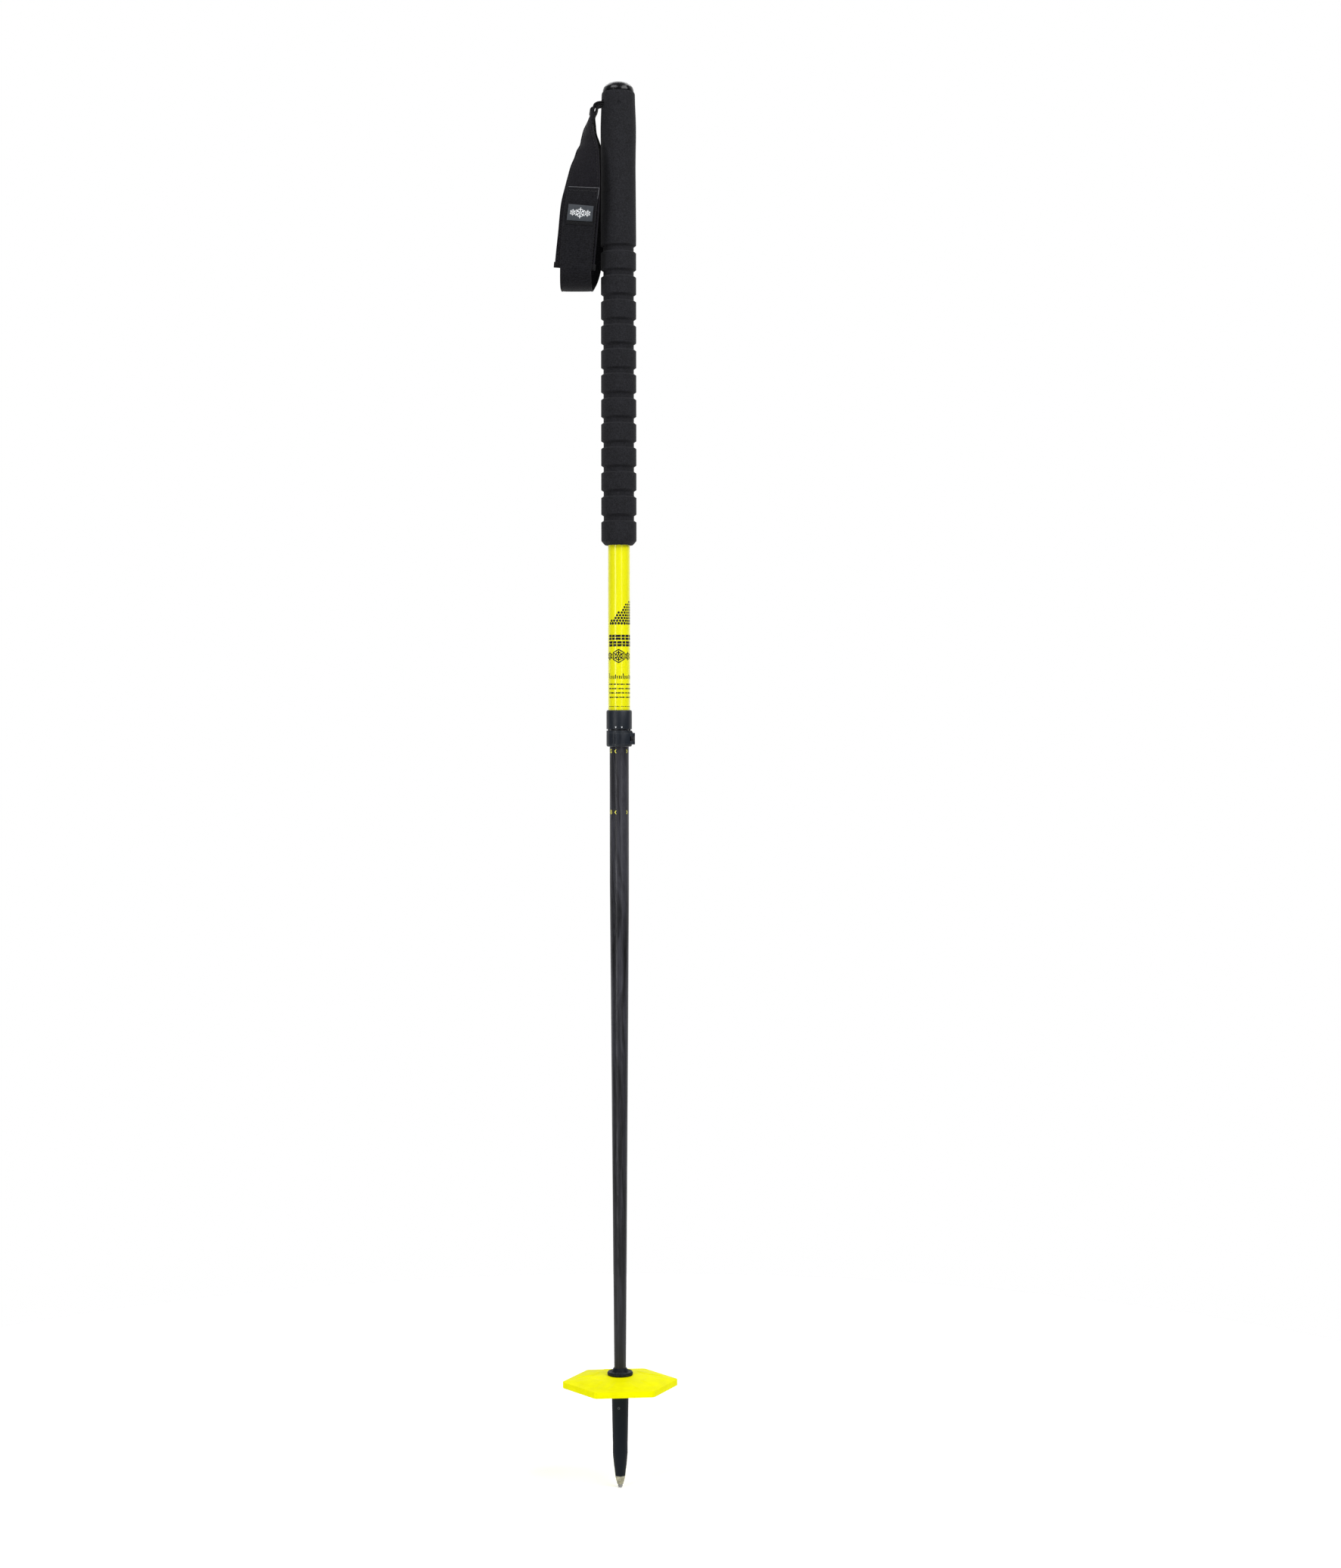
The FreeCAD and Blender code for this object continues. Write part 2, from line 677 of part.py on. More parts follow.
for name, shape in pieces.items():
    save(name, shape)
    box_size = shape.BoundBox
    print(
        name,
        shape.isValid(),
        len(shape.Solids),
        round(shape.Volume, 1),
        [round(v, 2) for v in (box_size.XMin, box_size.XMax, box_size.YMin, box_size.YMax)],
        [round(v, 2) for v in (box_size.ZMin, box_size.ZMax)],
    )
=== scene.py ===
import math

import bmesh
import bpy
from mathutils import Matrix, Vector


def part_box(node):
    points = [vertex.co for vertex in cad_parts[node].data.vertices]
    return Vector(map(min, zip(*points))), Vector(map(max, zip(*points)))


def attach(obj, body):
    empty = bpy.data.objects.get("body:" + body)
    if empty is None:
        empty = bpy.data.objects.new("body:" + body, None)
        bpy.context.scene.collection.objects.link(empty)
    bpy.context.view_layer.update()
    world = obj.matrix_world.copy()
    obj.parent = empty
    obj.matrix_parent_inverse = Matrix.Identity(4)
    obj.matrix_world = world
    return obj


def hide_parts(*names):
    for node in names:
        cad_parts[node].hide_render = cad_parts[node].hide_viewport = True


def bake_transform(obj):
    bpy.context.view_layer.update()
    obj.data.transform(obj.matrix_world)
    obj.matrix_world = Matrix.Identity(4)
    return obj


# A telescopic ski pole: black foam grip with a wrist strap, yellow upper tube, lever
# clamp, streaked carbon lower shaft, yellow hexagonal basket and a hard tip.
# Lengths named here are in millimetres; mesh builders turn them into metres.

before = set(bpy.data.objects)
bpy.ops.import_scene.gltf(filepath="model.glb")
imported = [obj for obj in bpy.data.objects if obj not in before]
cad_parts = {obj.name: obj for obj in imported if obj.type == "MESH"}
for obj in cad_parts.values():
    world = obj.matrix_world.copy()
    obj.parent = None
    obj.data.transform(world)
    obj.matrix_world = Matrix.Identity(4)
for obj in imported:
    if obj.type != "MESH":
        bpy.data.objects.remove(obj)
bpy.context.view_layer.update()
MM = 0.001


def box_mm(node):
    """Lowest and highest corner of a CAD node, in millimetres."""
    low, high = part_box(node)
    return low / MM, high / MM


def heights(node):
    """Lowest and highest height of a CAD node, in millimetres."""
    low, high = box_mm(node)
    return low.z, high.z


# ---- sizes taken from the frame -----------------------------------------------
POLE_TOP = heights("top_cap")[1]
GRIP_LOW, GRIP_HIGH = heights("grip_foam")
TUBE_LOW, TUBE_HIGH = heights("upper_tube")
TUBE_R = box_mm("upper_tube")[1].x
SHAFT_LOW, SHAFT_HIGH = heights("lower_shaft")
SHAFT_R = box_mm("lower_shaft")[1].x
FERRULE_LOW, FERRULE_HIGH = heights("ferrule")
SLEEVE_LOW = heights("tip_sleeve")[0]
SLEEVE_R = box_mm("tip_sleeve")[1].x
RING_LOW, RING_HIGH = heights("basket_collar")
RING_R = box_mm("basket_collar")[1].x
PIN_Z = sum(heights("strap_pin")) / 2


# ---- node materials -----------------------------------------------------------
class Nodes:
    """Small helpers round a node tree."""

    def __init__(self, tree):
        self.tree = tree
        self.coordinates = tree.nodes.new("ShaderNodeTexCoord")

    def put(self, socket, value):
        """Links a socket to another node's output, or sets its own value."""
        if isinstance(value, bpy.types.NodeSocket):
            self.tree.links.new(value, socket)
        else:
            socket.default_value = value

    def node(self, kind, **sockets):
        """A new node whose sockets take values or other nodes' outputs."""
        node = self.tree.nodes.new("ShaderNode" + kind)
        for key, value in sockets.items():
            self.put(node.inputs[key.replace("_", " ")], value)
        return node

    def place(self, source="Object", scale=(1, 1, 1), rotate=(0, 0, 0), move=(0, 0, 0)):
        """Texture coordinates in the piece's own space, in metres, scaled."""
        vector = self.coordinates.outputs[source]
        node = self.node("Mapping", Vector=vector, Scale=scale, Rotation=rotate, Location=move)
        return node.outputs[0]

    def noise(self, vector, scale, detail, rough, distortion=0.0):
        node = self.node("TexNoise", Vector=vector, Scale=scale, Detail=detail,
                         Roughness=rough, Distortion=distortion)
        return node.outputs["Fac"]

    def cells(self, vector, scale):
        return self.node("TexVoronoi", Vector=vector, Scale=scale).outputs["Distance"]

    def wave(self, vector, scale, distortion):
        node = self.node("TexWave", Vector=vector, Scale=scale, Distortion=distortion, Detail=1.0)
        return node.outputs["Fac"]

    def math(self, kind, a, b=0.0):
        node = self.node("Math")
        node.operation = kind
        self.put(node.inputs[0], a)
        self.put(node.inputs[1], b)
        return node.outputs[0]

    def weighted(self, *terms):
        """The sum of values, each times its weight."""
        total, *others = [self.math("MULTIPLY", value, weight) for value, weight in terms]
        for other in others:
            total = self.math("ADD", total, other)
        return total

    def ramp(self, value, low, high, to_low=0.0, to_high=1.0):
        """A smooth step of a value between two limits."""
        node = self.node("MapRange", Value=value, From_Min=low, From_Max=high,
                         To_Min=to_low, To_Max=to_high)
        node.interpolation_type = "SMOOTHSTEP"
        return node.outputs["Result"]

    def split(self, vector):
        return self.node("SeparateXYZ", Vector=vector).outputs

    def mix(self, factor, a, b):
        node = self.tree.nodes.new("ShaderNodeMix")
        node.data_type = "RGBA"
        self.put(node.inputs["Factor"], factor)
        for key, value in (("A", a), ("B", b)):
            self.put(node.inputs[key], (*value, 1.0) if isinstance(value, tuple) else value)
        return node.outputs["Result"]


class Paint(Nodes):
    """A material under construction."""

    def __init__(self, name, **sockets):
        self.material = bpy.data.materials.new(name)
        self.material.use_nodes = True
        super().__init__(self.material.node_tree)
        self.shader = self.tree.nodes["Principled BSDF"]
        for key, value in sockets.items():
            self.set(key.replace("_", " "), value)

    def set(self, socket, value):
        self.put(self.shader.inputs[socket], value)

    def color(self, value):
        self.set("Base Color", value)

    def rough(self, value):
        self.set("Roughness", value)

    def bump(self, height, depth_mm):
        """Relief of a real depth; a second call lies on top of the first."""
        node = self.node("Bump", Strength=1.0, Distance=depth_mm * MM, Height=height)
        before = self.shader.inputs["Normal"].links
        if before:
            self.put(node.inputs["Normal"], before[0].from_socket)
        self.set("Normal", node.outputs[0])


def foam_paint():
    p = Paint("eva_foam", Specular_IOR_Level=0.2, Sheen_Weight=0.04, Sheen_Roughness=0.5)
    space = p.place()
    pores = p.cells(space, 2300)
    fine = p.noise(space, 4200, 2, 0.6)
    patches = p.noise(space, 170, 4, 0.6)
    turned_marks = p.noise(p.place(scale=(1, 1, 26)), 60, 3, 0.6)
    grain = p.noise(space, 1000, 3, 0.8)
    shade = p.weighted((fine, 0.2), (grain, 0.6), (patches, 0.2))
    p.color(p.mix(p.ramp(shade, 0.36, 0.64), (0.0036, 0.0037, 0.0052), (0.0205, 0.0208, 0.025)))
    p.rough(p.ramp(patches, 0.3, 0.7, 0.78, 0.9))
    p.bump(turned_marks, 0.05)
    p.bump(pores, 0.07)
    p.bump(fine, 0.05)
    return p.material


def yellow_paint():
    p = Paint("tube_lacquer", Coat_Weight=0.35, Coat_Roughness=0.08, Specular_IOR_Level=0.42)
    space = p.place()
    peel = p.noise(space, 420, 2, 0.5)
    tone = p.noise(p.place(scale=(1, 1, 0.25)), 60, 3, 0.5)
    rubs = p.noise(p.place(scale=(9, 9, 0.8)), 210, 4, 0.7)
    p.color(p.mix(p.ramp(tone, 0.3, 0.7), (0.9, 0.88, 0.0014), (0.94, 0.92, 0.002)))
    p.rough(p.ramp(rubs, 0.35, 0.75, 0.2, 0.34))
    p.bump(peel, 0.035)
    return p.material


def satin_paint(name, rims, tint=(0.006, 0.0098, 0.0165), shine=0.45, gloss=0.42):
    """Satin moulded plastic with a fine spark texture, paler at its rubbed rims.

    rims are the heights, in millimetres, of the edges that handling wears.
    """
    p = Paint(name, Specular_IOR_Level=shine)
    space = p.place()
    grain = p.noise(space, 2600, 2, 0.6)
    cloud = p.noise(space, 180, 4, 0.6)
    scuffs = p.noise(p.place(scale=(1, 1, 0.3), rotate=(0.3, 0.2, 0)), 900, 5, 0.75)
    height = p.split(space)[2]
    rubbed = 0.0
    for rim in rims:
        away = p.math("ABSOLUTE", p.math("SUBTRACT", height, rim * MM))
        rubbed = p.math("MAXIMUM", rubbed, p.ramp(away, 0.0, 0.0007, 1.0, 0.0))
    wear = p.math("MULTIPLY", rubbed, p.ramp(scuffs, 0.4, 0.62))
    base = p.mix(p.ramp(cloud, 0.25, 0.75), tint, tuple(c * 1.15 for c in tint))
    p.color(p.mix(wear, base, (0.035, 0.04, 0.048)))
    p.rough(p.ramp(cloud, 0.2, 0.8, gloss - 0.02, gloss + 0.03))
    p.bump(grain, 0.03)
    p.bump(scuffs, 0.012)
    return p.material


def gloss_paint():
    p = Paint("polished_plastic", Specular_IOR_Level=0.3)
    space = p.place()
    flow = p.noise(space, 90, 3, 0.5)
    hairline = p.noise(p.place(scale=(14, 1, 1), rotate=(0, 0, 0.6)), 260, 4, 0.7)
    p.color(p.mix(flow, (0.004, 0.004, 0.005), (0.007, 0.007, 0.008)))
    p.rough(p.ramp(hairline, 0.4, 0.7, 0.14, 0.2))
    p.bump(flow, 0.03)
    return p.material


def carbon_paint():
    """Clear-coated carbon with long wandering tows of different brightness.

    The texture space is twisted about the shaft's axis and squeezed along it, so that
    the tows run nearly lengthwise and meet without a seam. Towards the tip they are
    painted darker: painted shade on the lower shaft.
    """
    p = Paint("carbon_laminate", Coat_Weight=0.08, Coat_Roughness=0.2, Specular_IOR_Level=0.3,
              Metallic=0.1)
    wander = p.noise(p.place(scale=(60, 60, 9)), 1.0, 3, 0.55)
    height = p.split(p.place())[2]
    twist = p.weighted((height, 4.4), (wander, 3.0))
    turned = p.node("VectorRotate", Vector=p.place(scale=(1, 1, 0.05)), Angle=twist)
    turned.rotation_type = "Z_AXIS"
    tows = p.noise(turned.outputs[0], 330, 3, 0.6, 0.4)
    fibres = p.noise(turned.outputs[0], 2300, 3, 0.65)
    broad = p.noise(turned.outputs[0], 120, 2, 0.5)
    light = p.weighted(
        (p.ramp(broad, 0.35, 0.66), 0.24),
        (p.ramp(fibres, 0.35, 0.7), 0.2),
        (p.ramp(tows, 0.36, 0.68), 0.62),
    )
    # Painted shade: the tows' colour is darkened towards the tip.
    tone = p.math("MULTIPLY", light, p.ramp(height, 0.1, 0.5, 0.4, 1.0))
    p.color(p.mix(tone, (0.0015, 0.0015, 0.0024), (0.056, 0.056, 0.068)))
    p.rough(p.ramp(light, 0.0, 1.0, 0.46, 0.3))
    p.bump(fibres, 0.012)
    return p.material


def basket_paint():
    p = Paint("basket_plastic", Specular_IOR_Level=0.01)
    space = p.place()
    grain = p.noise(space, 1900, 2, 0.6)
    cloud = p.noise(space, 70, 4, 0.6)
    dust = p.noise(p.place(move=(3, 1, 2)), 340, 5, 0.75)
    base = p.mix(p.ramp(cloud, 0.3, 0.7), (0.82, 0.8, 0.0006), (0.9, 0.885, 0.0012))
    p.color(p.mix(p.ramp(dust, 0.63, 0.8, 0.0, 0.2), base, (0.72, 0.67, 0.02)))
    p.rough(p.ramp(cloud, 0.3, 0.7, 0.38, 0.52))
    p.bump(grain, 0.03)
    return p.material


def metal_paint(name, low, high, gloss, stretch=(1, 1, 1), depth=0.03):
    p = Paint(name, Metallic=1.0)
    brushed = p.noise(p.place(scale=stretch), 900, 4, 0.7)
    stains = p.noise(p.place(), 260, 4, 0.65)
    p.color(p.mix(p.ramp(stains, 0.3, 0.72), low, high))
    p.rough(p.ramp(brushed, 0.3, 0.7, gloss - 0.08, gloss + 0.12))
    p.bump(brushed, depth)
    return p.material


def woven_paint(name, dark, light, pitch_across, pitch_along, depth, twill=0.0):
    """Cloth from its threads: UV runs in metres, across the strap and along it."""
    p = Paint(name, Specular_IOR_Level=0.12, Sheen_Weight=0.1, Sheen_Roughness=0.45)
    across, along, _ = p.split(p.place("UV"))
    wobble = p.noise(p.place("UV"), 260, 2, 0.5)
    shift = p.math("MULTIPLY", p.math("SUBTRACT", wobble, 0.5), 0.9)
    turns = 2 * math.pi
    u = p.math("ADD", p.math("MULTIPLY", across, turns / (pitch_across * MM)), shift)
    v = p.math("ADD", p.math("MULTIPLY", along, turns / (pitch_along * MM)), shift)
    v = p.math("ADD", v, p.math("MULTIPLY", u, twill))
    crossing = p.math("MULTIPLY", p.math("SINE", u), p.math("SINE", v))
    weave = p.math("ADD", p.math("MULTIPLY", crossing, 0.34), 0.5)
    ribs = p.math("ABSOLUTE", p.math("SINE", p.math("MULTIPLY", v, 0.5)))
    height = p.math("ADD", weave, p.math("MULTIPLY", ribs, 0.35))
    fibres = p.noise(p.place("UV"), 5200, 3, 0.7)
    wear = p.noise(p.place(), 110, 4, 0.6)
    flecks = p.math("SUBTRACT", p.noise(p.place(), 950, 3, 0.8), 0.5)
    # The colour follows the weave's relief, lighter on the raised threads and darker in the hollows
    # between them: painted shade; the fibres, wear and flecks are the cloth's own tone.
    shade = p.weighted((height, 0.55), (fibres, 0.3), (wear, 0.2), (flecks, 1.5))
    p.color(p.mix(p.ramp(shade, 0.35, 0.95), dark, light))
    p.rough(p.ramp(wear, 0.3, 0.7, 0.78, 0.92))
    p.bump(height, depth)
    p.bump(fibres, depth * 0.35)
    return p.material


def thread_paint(name, dark, light):
    p = Paint(name, Specular_IOR_Level=0.3, Sheen_Weight=0.2)
    twist = p.wave(p.place(rotate=(0.6, 0.4, 0.7)), 1500, 0.6)
    fluff = p.noise(p.place(), 4200, 3, 0.7)
    # The colour is darker in the twist's grooves: painted shade of the twist's relief; the fluff is
    # the thread's own tone.
    p.color(p.mix(p.math("MULTIPLY", twist, fluff), dark, light))
    p.rough(p.ramp(fluff, 0.3, 0.7, 0.6, 0.8))
    p.bump(twist, 0.05)
    return p.material


def label_paint():
    p = Paint("label_rubber", Specular_IOR_Level=0.4)
    grain = p.noise(p.place(), 3000, 2, 0.6)
    cloud = p.noise(p.place(), 240, 4, 0.6)
    p.color(p.mix(p.ramp(cloud, 0.3, 0.7), (0.024, 0.029, 0.037), (0.04, 0.047, 0.057)))
    p.rough(p.ramp(cloud, 0.3, 0.7, 0.5, 0.64))
    p.bump(grain, 0.03)
    return p.material


def ink_paint(name, thin, full, gloss=0.4):
    """Screen-printed ink, a little thin and rubbed in places."""
    p = Paint(name, Specular_IOR_Level=0.4)
    speckle = p.noise(p.place(), 2400, 4, 0.7)
    rubbed = p.noise(p.place(), 310, 4, 0.65)
    cover = p.weighted((speckle, 0.5), (rubbed, 0.5))
    p.color(p.mix(p.ramp(cover, 0.2, 0.5), thin, full))
    p.rough(p.ramp(rubbed, 0.3, 0.7, gloss - 0.06, gloss + 0.1))
    p.bump(speckle, 0.01)
    return p.material


FOAM = foam_paint()
LACQUER = yellow_paint()
PLASTIC = satin_paint("moulded_plastic", (608.7, 610.4, 619.8, 621.8, 622.8, 638.3))
FERRULE_PLASTIC = satin_paint(
    "ferrule_plastic", (9.6, 79.8, 93.4, 95.0), (0.0035, 0.0062, 0.0105), shine=0.12, gloss=0.5
)
GLOSS = gloss_paint()
CARBON = carbon_paint()
BASKET = basket_paint()
SLEEVE_METAL = metal_paint("blasted_alloy", (0.24, 0.23, 0.18), (0.5, 0.48, 0.38), 0.5, depth=0.06)
BLACK_STEEL = metal_paint("blackened_steel", (0.03, 0.03, 0.033), (0.09, 0.09, 0.095), 0.4)
STEEL = metal_paint("plated_steel", (0.17, 0.17, 0.17), (0.34, 0.34, 0.34), 0.32, (1, 1, 8))
WEBBING = woven_paint("webbing_weave", (0.002, 0.002, 0.0026), (0.013, 0.013, 0.015), 1.3, 0.9, 0.3)
BAND_CLOTH = woven_paint(
    "band_cloth", (0.0022, 0.0021, 0.0032), (0.0165, 0.0153, 0.0205), 0.8, 0.65, 0.16, twill=0.5
)
ELASTIC = woven_paint(
    "elastic_weave", (0.0014, 0.0014, 0.002), (0.0165, 0.0165, 0.0205), 0.8, 1.0, 0.2
)
BINDING = woven_paint(
    "binding_tape", (0.003, 0.003, 0.0036), (0.016, 0.016, 0.018), 0.8, 0.6, 0.12
)
HOOKS = woven_paint("hook_tape", (0.006, 0.006, 0.007), (0.03, 0.03, 0.032), 1.3, 1.3, 0.4)
THREAD = thread_paint("sewing_thread", (0.008, 0.008, 0.009), (0.045, 0.045, 0.05))
PALE_THREAD = thread_paint("pale_thread", (0.1, 0.1, 0.11), (0.28, 0.29, 0.31))
LABEL = label_paint()
BLACK_INK = ink_paint("black_ink", (0.03, 0.029, 0.006), (0.008, 0.008, 0.008))
YELLOW_INK = ink_paint("yellow_ink", (0.55, 0.5, 0.05), (0.93, 0.88, 0.12))
GREY_INK = ink_paint("grey_ink", (0.05, 0.055, 0.06), (0.11, 0.12, 0.13))
WHITE_INK = ink_paint("white_ink", (0.6, 0.62, 0.64), (0.86, 0.88, 0.9), 0.5)


# ---- mesh builders ------------------------------------------------------------
def linked(name, data):
    """A new object in the scene from its data."""
    obj = bpy.data.objects.new(name, data)
    bpy.context.scene.collection.objects.link(obj)
    return obj


def built(name, mesh, material):
    """An object from a bmesh, which is used up."""
    data = bpy.data.meshes.new(name)
    mesh.to_mesh(data)
    mesh.free()
    data.materials.append(material)
    return linked(name, data)


def smooth(obj, crease=None):
    """Smooth shading, with edges that turn by more than crease degrees left sharp."""
    obj.data.polygons.foreach_set("use_smooth", [True] * len(obj.data.polygons))
    if crease:
        obj.data.set_sharp_from_angle(angle=math.radians(crease))


def piece(name, verts, faces, material, uvs=None, crease=35.0):
    """A mesh object from corners in millimetres; uvs are in metres, by face corner."""
    mesh = bpy.data.meshes.new(name)
    mesh.from_pydata([Vector(v) * MM for v in verts], [], faces)
    if uvs:
        layer = mesh.uv_layers.new(name="UVMap")
        flat = [c for face in uvs for uv in face for c in uv]
        layer.data.foreach_set("uv", flat)
    mesh.materials.append(material)
    obj = linked(name, mesh)
    smooth(obj, crease)
    return obj


def finish_piece(obj, body, slot, *nodes):
    """Gives a finished piece its body and hides the CAD nodes it stands in for; slot is not used.
    """
    if body:
        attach(obj, body)
    if nodes:
        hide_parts(*nodes)


FILLET_STEPS = 5


def rounded(outline):
    """Points of an outline whose corners may carry a fillet radius as a third number."""
    points = []
    for i, corner in enumerate(outline):
        here = Vector(corner[:2])
        radius = corner[2] if len(corner) > 2 else 0.0
        if radius <= 0 or i in (0, len(outline) - 1):
            points.append(here)
            continue
        back = Vector(outline[i - 1][:2]) - here
        ahead = Vector(outline[i + 1][:2]) - here
        angle = back.angle(ahead)
        if angle > math.radians(177):
            points.append(here)
            continue
        reach = radius / math.tan(angle / 2)
        reach = min(reach, back.length * 0.48, ahead.length * 0.48)
        a, b = here + back.normalized() * reach, here + ahead.normalized() * reach
        for k in range(FILLET_STEPS + 1):
            t = k / FILLET_STEPS
            points.append(a * (1 - t) ** 2 + here * 2 * t * (1 - t) + b * t * t)
    return points


def lathe(name, outline, material, segments, crease=35.0, closed=False):
    """Turns an outline of (radius, height) about Z; UV is arc length round and height."""
    points = rounded(outline)
    reach = max(p.x for p in points)
    rings, verts = [], []
    for p in points:
        if p.x < 1e-6:
            rings.append([len(verts)] * segments)
            verts.append((0, 0, p.y))
            continue
        rings.append(list(range(len(verts), len(verts) + segments)))
        for s in range(segments):
            a = 2 * math.pi * (s / segments - 0.5)
            verts.append((p.x * math.sin(a), -p.x * math.cos(a), p.y))
    faces, uvs = [], []
    for lower in range(len(rings) if closed else len(rings) - 1):
        upper = (lower + 1) % len(rings)
        a, b = rings[lower], rings[upper]
        for s in range(segments):
            n = (s + 1) % segments
            corners = [(a[s], s, lower), (b[s], s, upper)]
            if b[n] != b[s]:
                corners.insert(1, (b[n], s + 1, upper))
            if a[n] != a[s]:
                corners.insert(1, (a[n], s + 1, lower))
            faces.append([index for index, _, _ in corners])
            uvs.append([
                ((turn / segments - 0.5) * 2 * math.pi * reach * MM, points[row].y * MM)
                for _, turn, row in corners
            ])
    obj = piece(name, verts, faces, material, uvs, crease)
    tidy_normals(obj)
    return obj


def tidy_normals(obj):
    """Turns every face of a closed piece outward."""
    mesh = bmesh.new()
    mesh.from_mesh(obj.data)
    bmesh.ops.recalc_face_normals(mesh, faces=mesh.faces)
    mesh.to_mesh(obj.data)
    mesh.free()


def applied(obj):
    """Applies a piece's modifiers to its mesh."""
    graph = bpy.context.evaluated_depsgraph_get()
    mesh = bpy.data.meshes.new_from_object(obj.evaluated_get(graph))
    obj.modifiers.clear()
    obj.data = mesh


def carve(obj, cutter, crease):
    """Cuts one piece out of another and removes the cutter."""
    modifier = obj.modifiers.new("cut", "BOOLEAN")
    modifier.object = cutter
    modifier.operation = "DIFFERENCE"
    modifier.solver = "EXACT"
    bpy.context.view_layer.update()
    applied(obj)
    bpy.data.objects.remove(cutter)
    obj.data.set_sharp_from_angle(angle=math.radians(crease))


def block(name, low, high, material, bevel):
    """A rounded box between two corners."""
    mesh = bmesh.new()
    bmesh.ops.create_cube(mesh, size=1.0)
    size, middle = Vector(high) - Vector(low), (Vector(high) + Vector(low)) / 2
    for v in mesh.verts:
        v.co = (Vector([v.co[k] * size[k] for k in range(3)]) + middle) * MM
    bmesh.ops.bevel(mesh, geom=mesh.edges, offset=bevel * MM, segments=4, profile=0.5,
                    affect="EDGES")
    obj = built(name, mesh, material)
    smooth(obj, 35)
    return obj


def round_edges(obj, width, segments, angle):
    """Rounds the edges of a piece that turn by more than an angle in degrees."""
    rounding = obj.modifiers.new("edges", "BEVEL")
    rounding.width = width * MM
    rounding.segments = segments
    rounding.limit_method = "ANGLE"
    rounding.angle_limit = math.radians(angle)
    bpy.context.view_layer.update()
    applied(obj)


def refined(name, node, material, bevel, segments=3):
    """A node's own shape with its machine-sharp edges rounded."""
    mesh = bmesh.new()
    mesh.from_mesh(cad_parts[node].data)
    bmesh.ops.remove_doubles(mesh, verts=mesh.verts, dist=1e-6)
    bmesh.ops.dissolve_limit(
        mesh, angle_limit=math.radians(0.6), verts=mesh.verts, edges=mesh.edges
    )
    obj = built(name, mesh, material)
    round_edges(obj, bevel, segments, 28)
    smooth(obj, 32)
    return obj


def join(name, parts):
    """One object from several meshes that share a material."""
    mesh = bmesh.new()
    material = parts[0].data.materials[0]
    for part in parts:
        part.data.transform(part.matrix_world)
        mesh.from_mesh(part.data)
        bpy.data.objects.remove(part)
    return built(name, mesh, material)


def wrapped(name, shapes, radius_at, material, lift, column=0.9):
    """Flat print laid round the pole's axis: shapes are outlines of (round, height).

    round is the distance from the front, positive towards +X. radius_at gives the
    surface's radius at a height, and lift is the ink's thickness.
    """
    mesh = bmesh.new()
    for outline in shapes:
        mesh.faces.new([mesh.verts.new((x, 0.0, z)) for x, z in outline])
    bmesh.ops.triangulate(mesh, faces=mesh.faces)
    left = min(v.co.x for v in mesh.verts)
    right = max(v.co.x for v in mesh.verts)
    cut = left + column
    while cut < right:
        everything = mesh.verts[:] + mesh.edges[:] + mesh.faces[:]
        bmesh.ops.bisect_plane(mesh, geom=everything, plane_co=(cut, 0, 0), plane_no=(1, 0, 0))
        cut += column
    for v in mesh.verts:
        radius = radius_at(v.co.z) + lift
        angle = v.co.x / radius_at(v.co.z)
        v.co = Vector((radius * math.sin(angle), -radius * math.cos(angle), v.co.z)) * MM
    for face in mesh.faces:
        face.normal_update()
        outward = face.calc_center_median()
        if face.normal.dot(Vector((outward.x, outward.y, 0))) < 0:
            face.normal_flip()
        face.smooth = True
    return built(name, mesh, material)


def strand_faces(first, rings, sides):
    """Faces of a closed strand: rings of corners, numbered from first, and two ends."""
    faces = []
    last = first + (rings - 1) * sides
    for low in range(first, last, sides):
        for k in range(sides):
            n = (k + 1) % sides
            faces.append((low + k, low + n, low + sides + n, low + sides + k))
    faces.append(tuple(first + k for k in reversed(range(sides))))
    faces.append(tuple(last + k for k in range(sides)))
    return faces


def round_point(x, z, radius, angle):
    """A point at a radius from (x, z); angle 0 is straight up."""
    return x + radius * math.sin(angle), z + radius * math.cos(angle)


def ring_shapes(x, z, outer, inner, sides):
    """A flat regular ring as quads."""
    quads = []
    for k in range(sides):
        a, b = 2 * math.pi * k / sides, 2 * math.pi * (k + 1) / sides
        quads.append([
            round_point(x, z, radius, angle)
            for radius, angle in ((outer, a), (outer, b), (inner, b), (inner, a))
        ])
    return quads


def bar(x0, x1, z0, z1):
    """An upright rectangle."""
    return [(x0, z0), (x1, z0), (x1, z1), (x0, z1)]


def spoke(x, z, angle, start, end, half):
    """A bar pointing out from (x, z)."""
    along = Vector((math.sin(angle), math.cos(angle)))
    side = Vector((along.y, -along.x)) * half
    corners = ((start, -1), (start, 1), (end, 1), (end, -1))
    return [tuple(Vector((x, z)) + along * out + side * way) for out, way in corners]


def snow_crystal(x, z, size, weight=1.0):
    """A plain six-armed crystal, used where the real pole has a printed badge."""
    shapes = []
    for k in range(6):
        angle = math.pi * k / 3
        shapes.append(spoke(x, z, angle, 0.12 * size, size, 0.075 * size * weight))
        fork = round_point(x, z, 0.52 * size, angle)
        for tilt in (angle - math.pi / 3, angle + math.pi / 3):
            shapes.append(spoke(*fork, tilt, 0.04 * size, 0.38 * size, 0.06 * size * weight))
    return shapes


